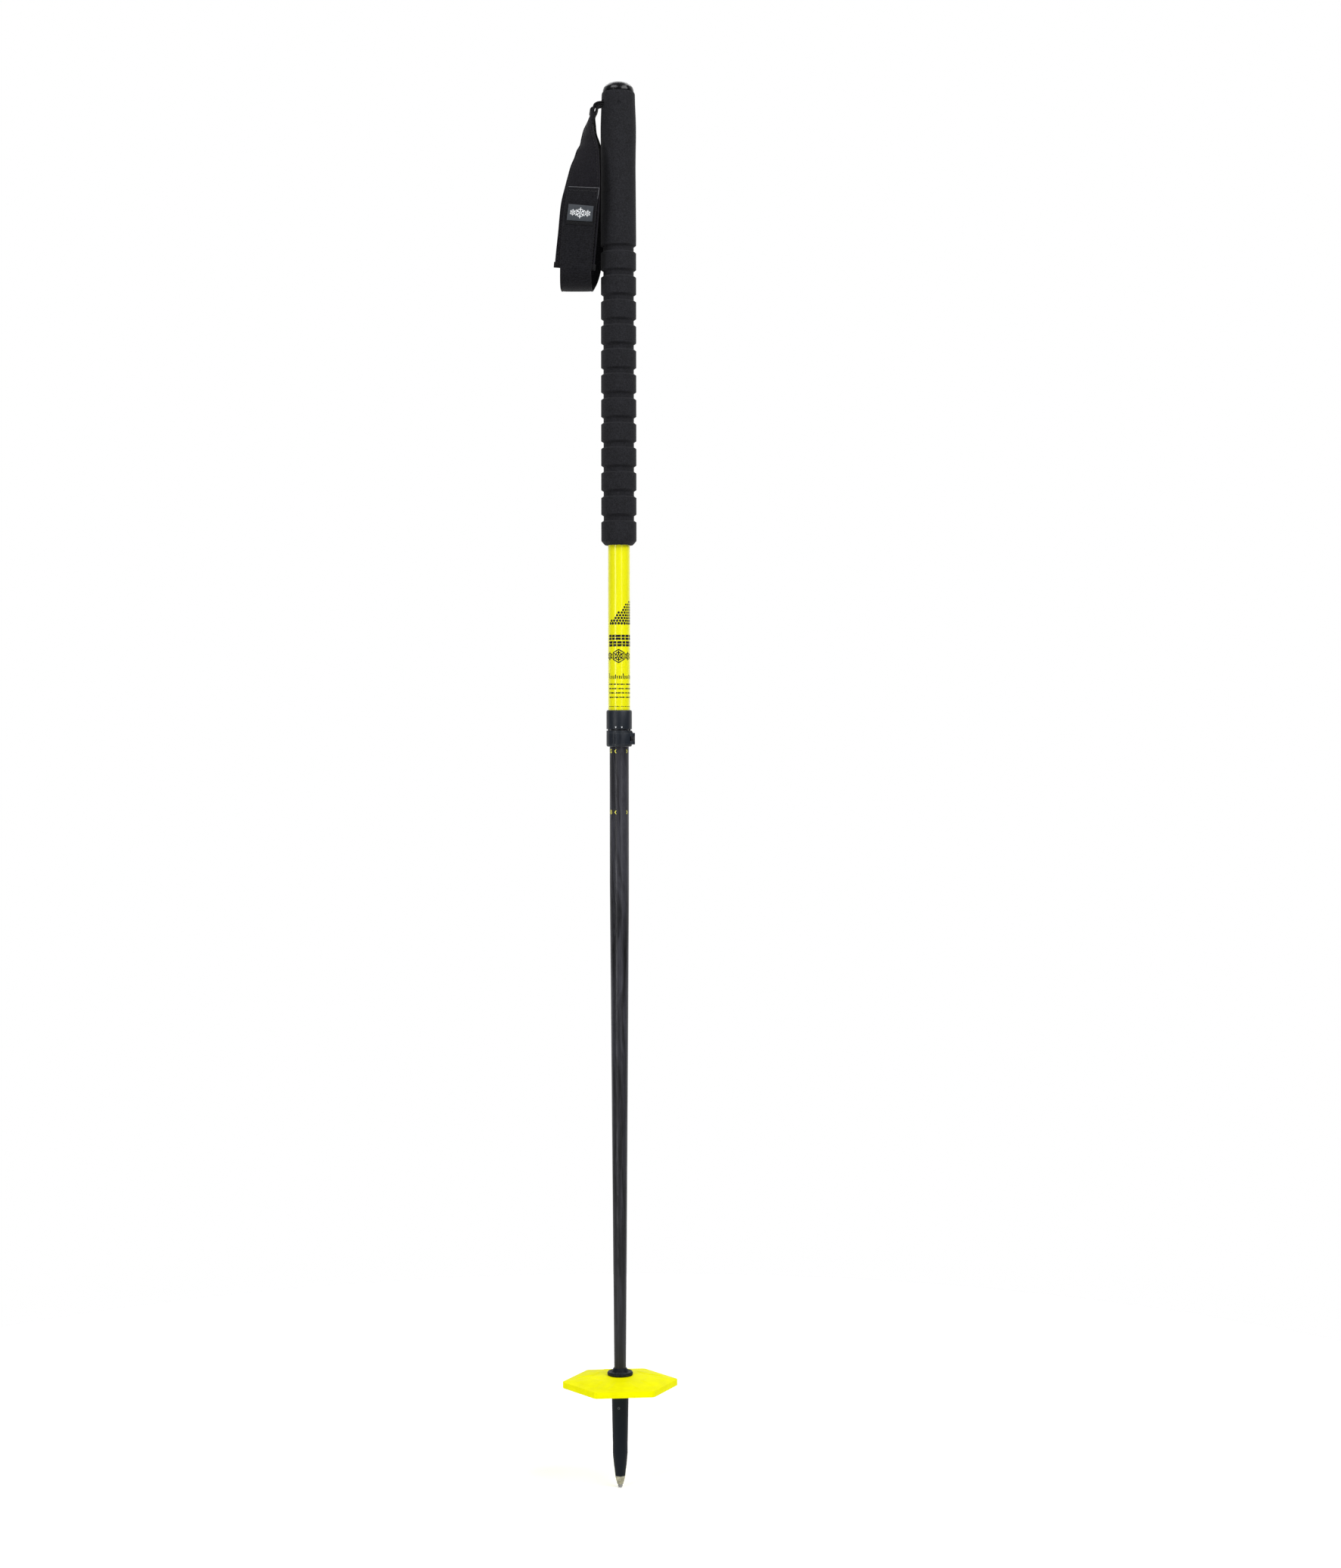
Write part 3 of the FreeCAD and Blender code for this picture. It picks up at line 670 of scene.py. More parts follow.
def text_shapes(text, x, z, height):
    """Outlines of plain numerals, as faces of (round, height)."""
    curve = bpy.data.curves.new("numerals", "FONT")
    curve.body = text
    curve.align_x = "CENTER"
    curve.align_y = "CENTER"
    digit_share = 0.7
    curve.size = height / digit_share
    curve.offset = 0.02 * height
    carrier = linked("numerals", curve)
    bpy.context.view_layer.update()
    mesh = bpy.data.meshes.new_from_object(carrier)
    shapes = []
    for face in mesh.polygons:
        corners = [mesh.vertices[index].co for index in face.vertices]
        shapes.append([(x + corner.x, z + corner.y) for corner in corners])
    bpy.data.objects.remove(carrier)
    return shapes


# ---- upper section: foam grip -------------------------------------------------
GRIP_RING_R = 14.5
GROOVE_DEPTH = 2.0
GROOVE_COUNT = 12
GROOVE_FIRST = 1017.1
GROOVE_PITCH = 20.1
GROOVE_FLOOR = 3.7
GROOVE_MOUTH = 6.5
SLOT_LOW, SLOT_HIGH, SLOT_HALF_WIDTH = 1133.2, 1139.4, 7.4


def grip_outline():
    """(radius, height, fillet) up the outside of the foam, then down its bore."""
    points = [(TUBE_R, GRIP_LOW), (11.4, GRIP_LOW, 0.5), (GRIP_RING_R, GRIP_LOW + 3.4, 2.6)]
    floor_r = GRIP_RING_R - GROOVE_DEPTH
    for i in reversed(range(GROOVE_COUNT)):
        z = GROOVE_FIRST - i * GROOVE_PITCH
        points += [
            (GRIP_RING_R, z - GROOVE_MOUTH / 2, 0.45),
            (floor_r, z - GROOVE_FLOOR / 2, 0.3),
            (floor_r, z + GROOVE_FLOOR / 2, 0.3),
            (GRIP_RING_R, z + GROOVE_MOUTH / 2, 0.45),
        ]
    points += [
        (14.6, 1026, 4),
        (14.42, 1054, 8),
        (14.2, 1084, 8),
        (14.34, 1097, 5),
        (14.6, 1109, 4),
        (14.6, 1118, 3),
        (14.35, 1126, 4),
        (13.9, 1136.5, 4),
        (13.7, 1144.2, 1),
        (13.3, 1145.9, 0.8),
        (11.9, GRIP_HIGH, 0.6),
        (TUBE_R, GRIP_HIGH),
    ]
    return points


def pin_dimple():
    """A cutter for the small lozenge pressed into the foam over the strap's pin."""
    middle_x, middle_z = 0.9, PIN_Z - 1.0
    half_width, half_height = 2.0, 2.3
    verts = []
    for y in (-17.0, -13.3):
        for x, z in ((1, 0), (0, 1), (-1, 0), (0, -1)):
            verts.append((middle_x + half_width * x, y, middle_z + half_height * z))
    cutter = piece("dimple_cutter", verts, strand_faces(0, 2, 4), FOAM)
    tidy_normals(cutter)
    return cutter


def make_grip():
    grip = lathe("grip_sleeve", grip_outline(), FOAM, 160, 40, closed=True)
    slot = block(
        "slot_cutter",
        (-20, -SLOT_HALF_WIDTH, SLOT_LOW),
        (-4, SLOT_HALF_WIDTH, SLOT_HIGH),
        FOAM,
        bevel=1.1,
    )
    carve(grip, slot, 40)
    carve(grip, pin_dimple(), 40)
    finish_piece(grip, "upper_section", "grip_foam", "grip_foam")


def make_cap():
    outline = [
        (0, 1141.2),
        (4.4, 1141.2, 0.3),
        (4.4, GRIP_HIGH, 0),
        (12.45, GRIP_HIGH, 0.2),
        (12.7, GRIP_HIGH + 0.5, 0.3),
        (12.62, 1148.2, 0.5),
        (11.9, 1150.2, 1.2),
        (9.9, 1152.35, 0.6),
        (9.6, 1152.25, 0.12),
        (9.3, 1152.65, 0.2),
        (7.4, 1153.85, 2.0),
        (4.6, 1154.68, 2.0),
        (0, POLE_TOP),
    ]
    cap = lathe("head_cap", outline, GLOSS, 144, 30)
    finish_piece(cap, "upper_section", "cap_gloss", "top_cap")


# ---- upper section: painted tube ----------------------------------------------
TUBE_BORE_R = 8.2


def make_tube():
    outline = [
        (TUBE_BORE_R, TUBE_LOW),
        (TUBE_R, TUBE_LOW, 0.15),
        (TUBE_R, TUBE_HIGH, 0.15),
        (TUBE_BORE_R, TUBE_HIGH),
    ]
    tube = lathe("tube_wall", outline, LACQUER, 160, closed=True)
    finish_piece(tube, "upper_section", "tube_paint", "upper_tube")


PRINT_LEFT = -9.9
PRINT_RIGHT = 16.5


def dot_field():
    """A triangle of hexagonal dots whose peak is right of the middle."""
    shapes = []
    low, peak_at, peak = 709.6, 12.6, 22.0
    pitch = 2.55
    row_pitch = pitch * math.sqrt(3) / 2
    for row in range(9):
        z = low + row * row_pitch
        for column in range(-20, 21):
            x = peak_at + (column + 0.5 * (row % 2)) * pitch
            if abs(x - peak_at) + row * row_pitch > peak:
                continue
            size = 1.22 - 0.03 * row
            shapes.append([round_point(x, z, size, math.pi * k / 3) for k in range(6)])
    return shapes


BLOCK_ROWS = (
    (3.4, 2.6, 4.4, 3.0, 3.8, 3.0, 4.2),
    (4.4, 3.0, 3.8, 2.6, 4.4, 3.4),
)


def block_rows():
    """Two rows of plain blocks with a slit, where the real tube carries lettering."""
    shapes = []
    for row, lengths in enumerate(BLOCK_ROWS):
        x = PRINT_LEFT
        low = 696.0 - row * 5.3
        for length in lengths:
            shapes.append(bar(x, x + length, low, low + 1.9))
            shapes.append(bar(x, x + length, low + 2.3, low + 4.3))
            x += length + 0.55
    return shapes


def crystal_badge():
    """A ringed crystal between two smaller ones."""
    x, z = -0.2, 682.8
    shapes = ring_shapes(x, z, 5.9, 4.9, 6) + snow_crystal(x, z, 4.4, 1.5)
    for side in (-1, 1):
        shapes += snow_crystal(x + 8.6 * side, z, 3.6, 1.5)
    return shapes


def ruler():
    """Upright ticks of three heights."""
    shapes = []
    low, pitch = 664.1, 1.6
    for k in range(17):
        height = 4.6 if k % 8 == 0 else 3.6 if k % 4 == 0 else 2.6
        x = PRINT_LEFT + 0.3 + k * pitch
        shapes.append(bar(x, x + pitch / 2, low, low + height))
    return shapes


def dash_lines():
    """Rows of short dashes with the density of small print."""
    shapes = []
    # The low edge, height, mean dash length and right end of each row.
    rows = [(659.2 - k * 3.55, 1.0, 1.9, PRINT_RIGHT - 1.5 * (k % 2)) for k in range(4)]
    rows.append((641.2, 0.55, 1.2, 9.4))
    for order, (low, height, mean, end) in enumerate(rows):
        x = PRINT_LEFT + 0.2
        count = 0
        while x < end:
            length = mean * (0.75 + 0.5 * math.sin(2.3 * count + 1.7 * order))
            shapes.append(bar(x, x + length, low, low + height))
            x += length + (0.9 if count % 4 == 3 else 0.35)
            count += 1
    return shapes


def make_tube_print():
    shapes = dot_field() + block_rows() + crystal_badge() + ruler() + dash_lines()
    ink = wrapped("tube_print", shapes, lambda z: TUBE_R, BLACK_INK, lift=0.02)
    finish_piece(ink, "upper_section", "label_dark")


# ---- upper section: lever clamp -----------------------------------------------
def make_collar():
    collar = refined("clamp_body", "clamp_collar", PLASTIC, bevel=0.3)
    finish_piece(collar, "upper_section", "black_plastic", "clamp_collar")


def make_clamp_marks():
    """Two small pale triangles at the sleeve's lower edge, pointing down."""
    radius = box_mm("clamp_collar")[1].y
    shapes = []
    for x in (-2.7, 2.4):
        shapes.append([(x - 0.65, 624.9), (x + 0.65, 624.9), (x, 623.6)])
    marks = wrapped("clamp_marks", shapes, lambda z: radius, WHITE_INK, lift=0.03, column=0.4)
    finish_piece(marks, "upper_section", "label_grey")


def make_clamp_hardware():
    for name, node, bevel in (
        ("clamp_barrel", "barrel_nut", 0.15), ("clamp_screw", "tension_screw", 0.2),
    ):
        finish_piece(refined(name, node, BLACK_STEEL, bevel), "upper_section", "steel", node)


def make_lever():
    lever = refined("cam_lever", "clamp_lever", PLASTIC, bevel=0.32)
    finish_piece(lever, "lever", "black_plastic", "clamp_lever")


# ---- lower section ------------------------------------------------------------
SHAFT_WALL = 1.2
SHAFT_TAPER_TOP = 494.0
NECK_R, NECK_Z = 4.9, 98.7
SHAFT_SLOPE = (SHAFT_R - NECK_R) / (SHAFT_TAPER_TOP - NECK_Z)
SHAFT_LOW_R = NECK_R - (NECK_Z - SHAFT_LOW) * SHAFT_SLOPE


def shaft_radius(z):
    """The carbon shaft's outer radius at a height: a long taper under a plain tube."""
    share = min((z - SHAFT_LOW) / (SHAFT_TAPER_TOP - SHAFT_LOW), 1.0)
    return SHAFT_LOW_R + (SHAFT_R - SHAFT_LOW_R) * share


def make_shaft():
    outline = [
        (SHAFT_LOW_R - SHAFT_WALL, SHAFT_LOW),
        (SHAFT_LOW_R, SHAFT_LOW),
        (SHAFT_R, SHAFT_TAPER_TOP),
        (SHAFT_R, SHAFT_HIGH),
        (SHAFT_R - SHAFT_WALL, SHAFT_HIGH),
        (SHAFT_R - SHAFT_WALL, SHAFT_TAPER_TOP),
    ]
    shaft = lathe("carbon_shaft", outline, CARBON, 160, closed=True)
    finish_piece(shaft, "lower_section", "carbon", "lower_shaft")


def chevron(x, z, side, size):
    """An angle bracket whose point faces side, -1 for left and 1 for right."""
    thick = 0.5 * size
    shapes = []
    for end in (-1, 1):
        tip = (x + side * size / 2, z)
        back = (x - side * size / 2, z + end * size)
        shapes.append([tip, (tip[0] - side * thick, z), (back[0] - side * thick * 0.4, back[1]),
                       (back[0] + side * thick * 0.5, back[1])])
    return shapes


SCALE_LOW = 554.7
NUMERAL_HEIGHT = 3.3


def make_scale():
    """Yellow lengths in centimetres round the shaft, every 5 cm."""
    shapes = []
    for step in range(7):
        z = SCALE_LOW + 50.0 * step
        label = str(110 + 5 * step)
        for x in (-10.2, 14.9):
            shapes += text_shapes(label, x, z, NUMERAL_HEIGHT)
        shapes += chevron(-3.2, z, -1, 1.5)
        shapes += chevron(7.5, z, 1, 1.5)
    numerals = wrapped("length_scale", shapes, shaft_radius, YELLOW_INK, lift=0.02, column=0.7)
    finish_piece(numerals, "lower_section", "basket_plastic")


def make_ferrule():
    outline = [
        (SHAFT_LOW_R, 24.2),
        (2.7, 10.5),
        (2.7, FERRULE_LOW),
        (4.15, FERRULE_LOW, 0.1),
        (4.75, 15.0, 3),
        (5.2, 18.0, 2),
        (5.5, 21.0, 2),
        (5.85, 24.5, 2),
        (6.15, 28.0, 2),
        (6.15, 36.0, 3),
        (6.3, 41.0, 4),
        (6.55, 55.0, 6),
        (6.8, 69.0, 6),
        (6.9, 79.7, 0.2),
        (6.7, 80.0, 0.1),
        (6.0, 80.0),
        (6.0, FERRULE_HIGH),
        (5.0, FERRULE_HIGH),
    ]
    body = lathe("ferrule_body", outline, FERRULE_PLASTIC, 112, 30, closed=True)
    finish_piece(body, "lower_section", "black_plastic", "ferrule")


def make_ferrule_mark():
    """A small pale hexagon ring near the ferrule's top."""
    shapes = ring_shapes(-1.0, 66.0, 1.0, 0.7, 6)
    mark = wrapped("ferrule_mark", shapes, lambda z: 6.75, GREY_INK, lift=0.04, column=0.5)
    finish_piece(mark, "lower_section", "label_grey")


def make_tip():
    sleeve = lathe(
        "tip_holder",
        [
            (1.45, SLEEVE_LOW + 0.05),
            (2.5, SLEEVE_LOW, 0.15),
            (3.3, 5.4, 0.4),
            (4.0, 8.2, 0.8),
            (SLEEVE_R, FERRULE_LOW, 0),
            (2.6, FERRULE_LOW),
            (2.6, 20.0),
            (1.45, 20.0),
        ],
        SLEEVE_METAL,
        96,
        30,
        closed=True,
    )
    finish_piece(sleeve, "lower_section", "tip_alloy", "tip_sleeve")
    pin = lathe(
        "tip_point",
        [
            (0, 0),
            (1.3, 0, 0.1),
            (1.85, 0.35, 0.2),
            (1.95, 0.75, 0.2),
            (1.95, 2.5, 0.05),
            (1.4, 2.5),
            (1.4, 16),
            (0, 16),
        ],
        STEEL,
        72,
        30,
    )
    finish_piece(pin, "lower_section", "tip_alloy", "tip_pin")


def make_ring():
    """The black ring that holds the basket down: flared foot, groove, short neck."""
    outline = [
        (6.0, RING_LOW),
        (10.1, RING_LOW, 0.2),
        (RING_R, RING_LOW + 0.8, 0.4),
        (RING_R, RING_LOW + 2.0, 0.4),
        (10.0, RING_LOW + 3.0, 0.35),
        (9.2, RING_LOW + 3.1, 0.3),
        (8.4, RING_LOW + 2.6, 0.4),
        (7.2, RING_LOW + 2.6, 0.6),
        (6.3, RING_LOW + 4.4, 0.6),
        (5.4, RING_HIGH, 0.15),
        (shaft_radius(RING_HIGH), RING_HIGH),
        (shaft_radius(FERRULE_HIGH), FERRULE_HIGH),
        (6.0, FERRULE_HIGH),
    ]
    ring = lathe("basket_ring", outline, FERRULE_PLASTIC, 112, 30, closed=True)
    finish_piece(ring, "lower_section", "black_plastic", "basket_collar")


BASKET_R = 47.8
BASKET_CROWN_R = 15.0
BASKET_TURN = math.radians(6.0)
BASKET_RIM_HIGH = 87.4


def basket_top(radius):
    """Height of the basket's sloping top along the middle of a facet."""
    inner = BASKET_CROWN_R * math.cos(math.pi / 6)
    outer = BASKET_R * math.cos(math.pi / 6)
    share = (radius - inner) / (outer - inner)
    return RING_LOW + (BASKET_RIM_HIGH - RING_LOW) * share


# The raised pad of one basket face: (distance from the axis, half width) of its corners
# at the foot, under the basket's surface, and on top.
PAD_FOOT = ((19.6, 7.2), (36.2, 15.2))
PAD_TOP = ((22.6, 5.4), (33.2, 10.8))
PAD_SUNK = -0.35
PAD_LIFT = 0.75


def make_basket_pads():
    """A low raised trapezoid on each of the six sloping faces."""
    pads = []
    for k in range(6):
        angle = math.pi / 6 + k * math.pi / 3 + BASKET_TURN
        facing = Vector((math.cos(angle), math.sin(angle)))
        side = Vector((-facing.y, facing.x))
        corners = []
        for ((near, near_half), (far, far_half)), lift in ((PAD_FOOT, PAD_SUNK),
                                                           (PAD_TOP, PAD_LIFT)):
            for radius, half in ((near, -near_half), (near, near_half),
                                 (far, far_half), (far, -far_half)):
                flat = facing * radius + side * half
                corners.append((flat.x, flat.y, basket_top(radius) + lift))
        pads.append(piece("pad", corners, strand_faces(0, 2, 4), BASKET))
        tidy_normals(pads[-1])
    joined = join("basket_pads", pads)
    round_edges(joined, 0.9, 3, 20)
    smooth(joined)
    finish_piece(joined, "lower_section", "basket_plastic")


def make_basket():
    basket = refined("basket_disc", "basket", BASKET, bevel=0.7, segments=4)
    finish_piece(basket, "lower_section", "basket_plastic", "basket")


# ---- wrist strap --------------------------------------------------------------
# Stations down the front of the loop, (x, y, z, width, turn of the width about Z in
# degrees): the outer strand of webbing, then the wide band.
FRONT_RUN = [
    (-17.6, 0.0, 1136.7, 14.0, 90.0),
    (-19.6, -0.3, 1135.0, 14.0, 89.0),
    (-21.4, -0.9, 1132.0, 14.0, 87.0),
    (-22.2, -1.8, 1126.6, 14.3, 84.0),
    (-23.7, -3.0, 1122.2, 14.6, 78.0),
    (-24.9, -4.8, 1117.0, 15.6, 67.0),
    (-25.3, -7.0, 1109.9, 17.4, 57.0),
    (-25.0, -9.0, 1103.2, 20.0, 48.0),
    (-25.5, -10.6, 1097.8, 23.2, 41.0),
    (-26.0, -12.6, 1090.3, 25.8, 35.0),
    (-27.2, -14.2, 1082.7, 28.4, 31.0),
    (-28.1, -15.6, 1074.2, 30.4, 27.6),
    (-29.2, -16.8, 1064.7, 31.5, 22.0),
    (-30.9, -17.9, 1051.1, 32.8, 14.5),
    (-33.0, -18.3, 1026.8, 33.0, 11.0),
    (-34.6, -18.0, 1011.0, 33.0, 9.0),
    (-35.7, -17.4, 998.5, 33.0, 8.0),
]
WEBBING_STATIONS = 3

# Stations down the front of the elastic panel, under and up behind, then the inner
# strand of webbing back to the pivot.
LOOP_RUN = [
    (-27.9, -21.3, 1064.1, 26.8, 16.0),
    (-30.6, -21.9, 1046.6, 27.2, 12.0),
    (-32.8, -21.9, 1024.2, 27.0, 8.0),
    (-34.1, -21.3, 1006.3, 26.4, 6.0),
    (-34.6, -20.6, 997.1, 25.6, 5.0),
    (-34.7, -17.6, 990.4, 25.6, 4.0),
    (-34.7, -11.0, 985.1, 25.6, 2.0),
    (-34.3, -2.0, 983.4, 25.6, 0.0),
    (-33.6, 7.0, 985.1, 25.8, 0.0),
    (-31.9, 14.0, 990.7, 26.2, 2.0),
    (-28.9, 17.6, 1000.0, 26.6, 5.0),
    (-26.2, 18.9, 1016.0, 26.6, 8.0),
    (-24.8, 19.2, 1040.0, 25.0, 12.0),
    (-23.0, 18.4, 1062.0, 21.4, 22.0),
    (-21.0, 15.8, 1082.0, 18.0, 38.0),
    (-18.8, 12.7, 1099.5, 16.0, 50.0),
    (-20.1, 6.4, 1113.7, 14.4, 74.0),
    (-20.0, 4.0, 1119.4, 14.0, 80.0),
    (-19.8, 2.2, 1123.8, 14.0, 84.0),
    (-19.2, 1.0, 1127.2, 14.0, 88.0),
    (-17.9, 0.2, 1131.0, 14.0, 90.0),
    (-17.4, 0.0, 1134.5, 14.0, 90.0),
]
PANEL_STATIONS = 13


def smoothed(stations, step=1.0):
    """Stations about step mm apart on the smooth curve through the given ones."""
    ends = [stations[0]] + list(stations) + [stations[-1]]
    ends[0] = tuple(2 * a - b for a, b in zip(stations[0], stations[1]))
    ends[-1] = tuple(2 * a - b for a, b in zip(stations[-1], stations[-2]))
    out = []
    for p0, p1, p2, p3 in zip(ends, ends[1:], ends[2:], ends[3:]):
        gap = (Vector(p2[:3]) - Vector(p1[:3])).length
        knots = [0.0]
        for a, b in ((p0, p1), (p1, p2), (p2, p3)):
            knots.append(knots[-1] + max((Vector(b[:3]) - Vector(a[:3])).length, 1e-3) ** 0.5)
        count = max(2, round(gap / step))
        for k in range(count):
            t = knots[1] + (knots[2] - knots[1]) * k / count
            out.append(knotted((p0, p1, p2, p3), knots, t))
    out.append(tuple(stations[-1]))
    return out


def knotted(points, knots, t):
    """A Catmull-Rom point by repeated blending between its knots."""
    level = points
    for row in (((0, 1), (1, 2), (2, 3)), ((0, 2), (1, 3)), ((1, 2),)):
        blended = []
        for i, (low, high) in enumerate(row):
            share = (t - knots[low]) / (knots[high] - knots[low])
            blended.append(tuple(a + (b - a) * share for a, b in zip(level[i], level[i + 1])))
        level = blended
    return level[0]


def run_frames(stations):
    """Centre, width direction, thickness direction, width and distance at each station."""
    frames = []
    distance = 0.0
    for i, (x, y, z, width, turn) in enumerate(stations):
        before = Vector(stations[max(i - 1, 0)][:3])
        after = Vector(stations[min(i + 1, len(stations) - 1)][:3])
        along = (after - before).normalized()
        angle = math.radians(turn)
        across = Vector((-math.cos(angle), math.sin(angle), 0))
        across = (across - along * across.dot(along)).normalized()
        centre = Vector((x, y, z))
        if frames:
            distance += (centre - frames[-1][0]).length
        frames.append((centre, across, along.cross(across), width, distance))
    return frames


def frames_between(frames, high, low):
    """The frames of a run's first way down, from one height to another, cut at both."""
    inside = []
    for here in frames:
        if here[0].z <= low:
            break
        if here[0].z < high:
            inside.append(here)
    return [frame_at(frames, high)] + inside + [frame_at(frames, low)]


def between(near, far, share):
    """The frame a share of the way from one frame to the next."""
    centre, across, normal, width, distance = (
        a * (1 - share) + b * share for a, b in zip(near, far)
    )
    return centre, across.normalized(), normal.normalized(), width, distance


def frame_at(frames, z):
    """The frame of a downward run at a height."""
    for upper, lower in zip(frames, frames[1:]):
        if upper[0].z >= z >= lower[0].z:
            return between(upper, lower, (upper[0].z - z) / max(upper[0].z - lower[0].z, 1e-9))
    raise ValueError("no station beside %s" % z)


def frame_along(frames, distance):
    """The frame of a run at a distance along it."""
    for near, far in zip(frames, frames[1:]):
        if near[4] <= distance <= far[4]:
            return between(near, far, (distance - near[4]) / max(far[4] - near[4], 1e-9))
    raise ValueError("no station at %s along the run" % distance)


def profile_section(rows):
    """A cross-section from (distance in from the edge, half thickness) rows.

    The result takes a width and gives the closed outline as (across, offset) points.
    """
    def section(width):
        half = width / 2
        inner = [(min(d, half), h) for d, h in rows]
        right = [(half - d, h) for d, h in inner]
        left = [(-half + d, h) for d, h in reversed(inner)]
        upper = right + left
        lower = [(a, -h) for a, h in reversed(upper)]
        return upper + lower[1:-1]
    return section


END_ROUNDING = 0.7
SLANT_REACH = 12.0
PANEL_SLANT = -1.3


def ribbon(name, frames, section, material, offset=0.0, widest=None, aside=0.0, slant=0.0,
           stretch_by=0.0):
    """A strap along a run of frames: UV is metres across and metres along.

    offset moves it along the thickness direction and aside along its width, towards
    the grip. slant is how much lower the grip's side of its first end is than the
    other side, and stretch_by is how much wider it is than its run.
    """
    start, end = frames[0][4], frames[-1][4]
    verts, corners = [], []
    for centre, across, normal, width, distance in frames:
        near = min(distance - start, end - distance)
        thin = 1.0
        if near < END_ROUNDING:
            thin = 0.45 + 0.55 * math.sqrt(max(near, 0) / END_ROUNDING)
        full = min(width, widest or width) + stretch_by
        along = across.cross(normal)
        skew = max(0.0, 1.0 - (distance - start) / SLANT_REACH)
        for a, t in section(full):
            drop = slant * (0.5 - a / full) * skew
            place = centre + across * (a - aside) + normal * (offset + t * thin)
            verts.append(place + along * drop)
            corners.append((a * MM, distance * MM))
    count = len(verts) // len(frames)
    faces = []
    for low in range(0, len(verts) - count, count):
        for k in range(count):
            n = (k + 1) % count
            faces.append((low + k, low + count + k, low + count + n, low + n))
    faces.append(tuple(range(count)))
    faces.append(tuple(reversed(range(len(verts) - count, len(verts)))))
    uvs = [[corners[index] for index in face] for face in faces]
    obj = piece(name, verts, faces, material, uvs, 50)
    tidy_normals(obj)
    return obj


WEBBING_SECTION = profile_section([
    (0.0, 0.0), (0.1, 0.4), (0.38, 0.68), (0.8, 0.8), (1.25, 0.72), (1.6, 0.7), (5.0, 0.74),
])
BAND_SECTION = profile_section([
    (0.0, 0.0), (0.12, 0.5), (0.45, 0.86), (1.0, 1.02), (1.6, 0.9), (1.95, 0.62), (2.15, 0.58),
    (2.5, 0.8), (3.2, 1.02), (5.0, 1.2), (8.0, 1.28), (11.0, 1.3),
])
HEM_SECTION = profile_section([
    (0.0, 0.0), (0.15, 0.7), (0.5, 1.2), (1.1, 1.5), (3.0, 1.72), (8.0, 1.8),
])
FOLD_SECTION = profile_section([
    (0.0, 0.0), (0.15, 0.6), (0.5, 1.2), (1.1, 1.6), (3.0, 1.9), (8.0, 1.95),
])
PANEL_SECTION = profile_section([
    (0.0, 0.0), (0.08, 0.42), (0.32, 0.7), (0.7, 0.8), (1.1, 0.7), (1.3, 0.58), (1.6, 0.56),
    (2.2, 0.66), (4.0, 0.74), (8.0, 0.78),
])
FLAT_SECTION = profile_section([(0.0, 0.0), (0.06, 0.2), (0.3, 0.25), (4.0, 0.25)])
PATCH_SECTION = profile_section([(0.0, 0.0), (0.1, 0.2), (0.4, 0.3), (4.0, 0.3)])
PATCH_TOP, PATCH_LOW, PATCH_WIDTH = 1046.6, 1012.0, 20.0
LABEL_TOP, LABEL_SPLIT, LABEL_LOW = 1049.6, 1036.7, 1033.6
LABEL_WIDTH = 21.3
LABEL_ASIDE = 0.7
LABEL_BASE_OUT, LABEL_PLATE_OUT = -1.05, -1.55
CRYSTAL_LIFTS = (1.7, 1.92)

# Rings of one stitch: share of its length, size, and height off the cloth, both as
# shares of the thread's radius.
BEAD_RINGS = ((0.0, 0.25, -0.75), (0.12, 0.8, -0.2), (0.5, 1.0, 0.25), (0.88, 0.8, -0.2),
              (1.0, 0.25, -0.75))
BEAD_SIDES = 6


def circle(middle, side, lift, radius, sides):
    """Points round a middle, in the plane of two directions."""
    turns = [2 * math.pi * k / sides for k in range(sides)]
    return [middle + (side * math.cos(a) + lift * math.sin(a)) * radius for a in turns]


def stitch_beads(name, stretches, radius):
    """Thread lying on cloth: one rounded bead for each (start, end, normal)."""
    verts, faces = [], []
    for start, end, normal in stretches:
        side = (end - start).normalized().cross(normal).normalized()
        faces += strand_faces(len(verts), len(BEAD_RINGS), BEAD_SIDES)
        for share, size, lift in BEAD_RINGS:
            middle = start.lerp(end, share) + normal * radius * lift
            verts += circle(middle, side, normal, radius * size, BEAD_SIDES)
    beads = piece(name, verts, faces, THREAD, None, 80)
    tidy_normals(beads)
    return beads


STITCH_PITCH = 2.6
STITCH_LENGTH = 1.9


def edge_stitches(frames, inset, height, side):
    """A row of stitches along a run, inset from one edge and height off its middle."""
    spots = []
    distance = frames[0][4] + 1.5
    while distance + STITCH_LENGTH < frames[-1][4] - 1.0:
        ends = []
        for at in (distance, distance + STITCH_LENGTH):
            centre, across, normal, width, _ = frame_along(frames, at)
            ends.append(centre + across * side * (width / 2 - inset) + normal * height)
        spots.append((*ends, normal * math.copysign(1, height)))
        distance += STITCH_PITCH
    return spots


WEBBING_WIDTH = 14.0
TAIL_WIDTH = 22.0


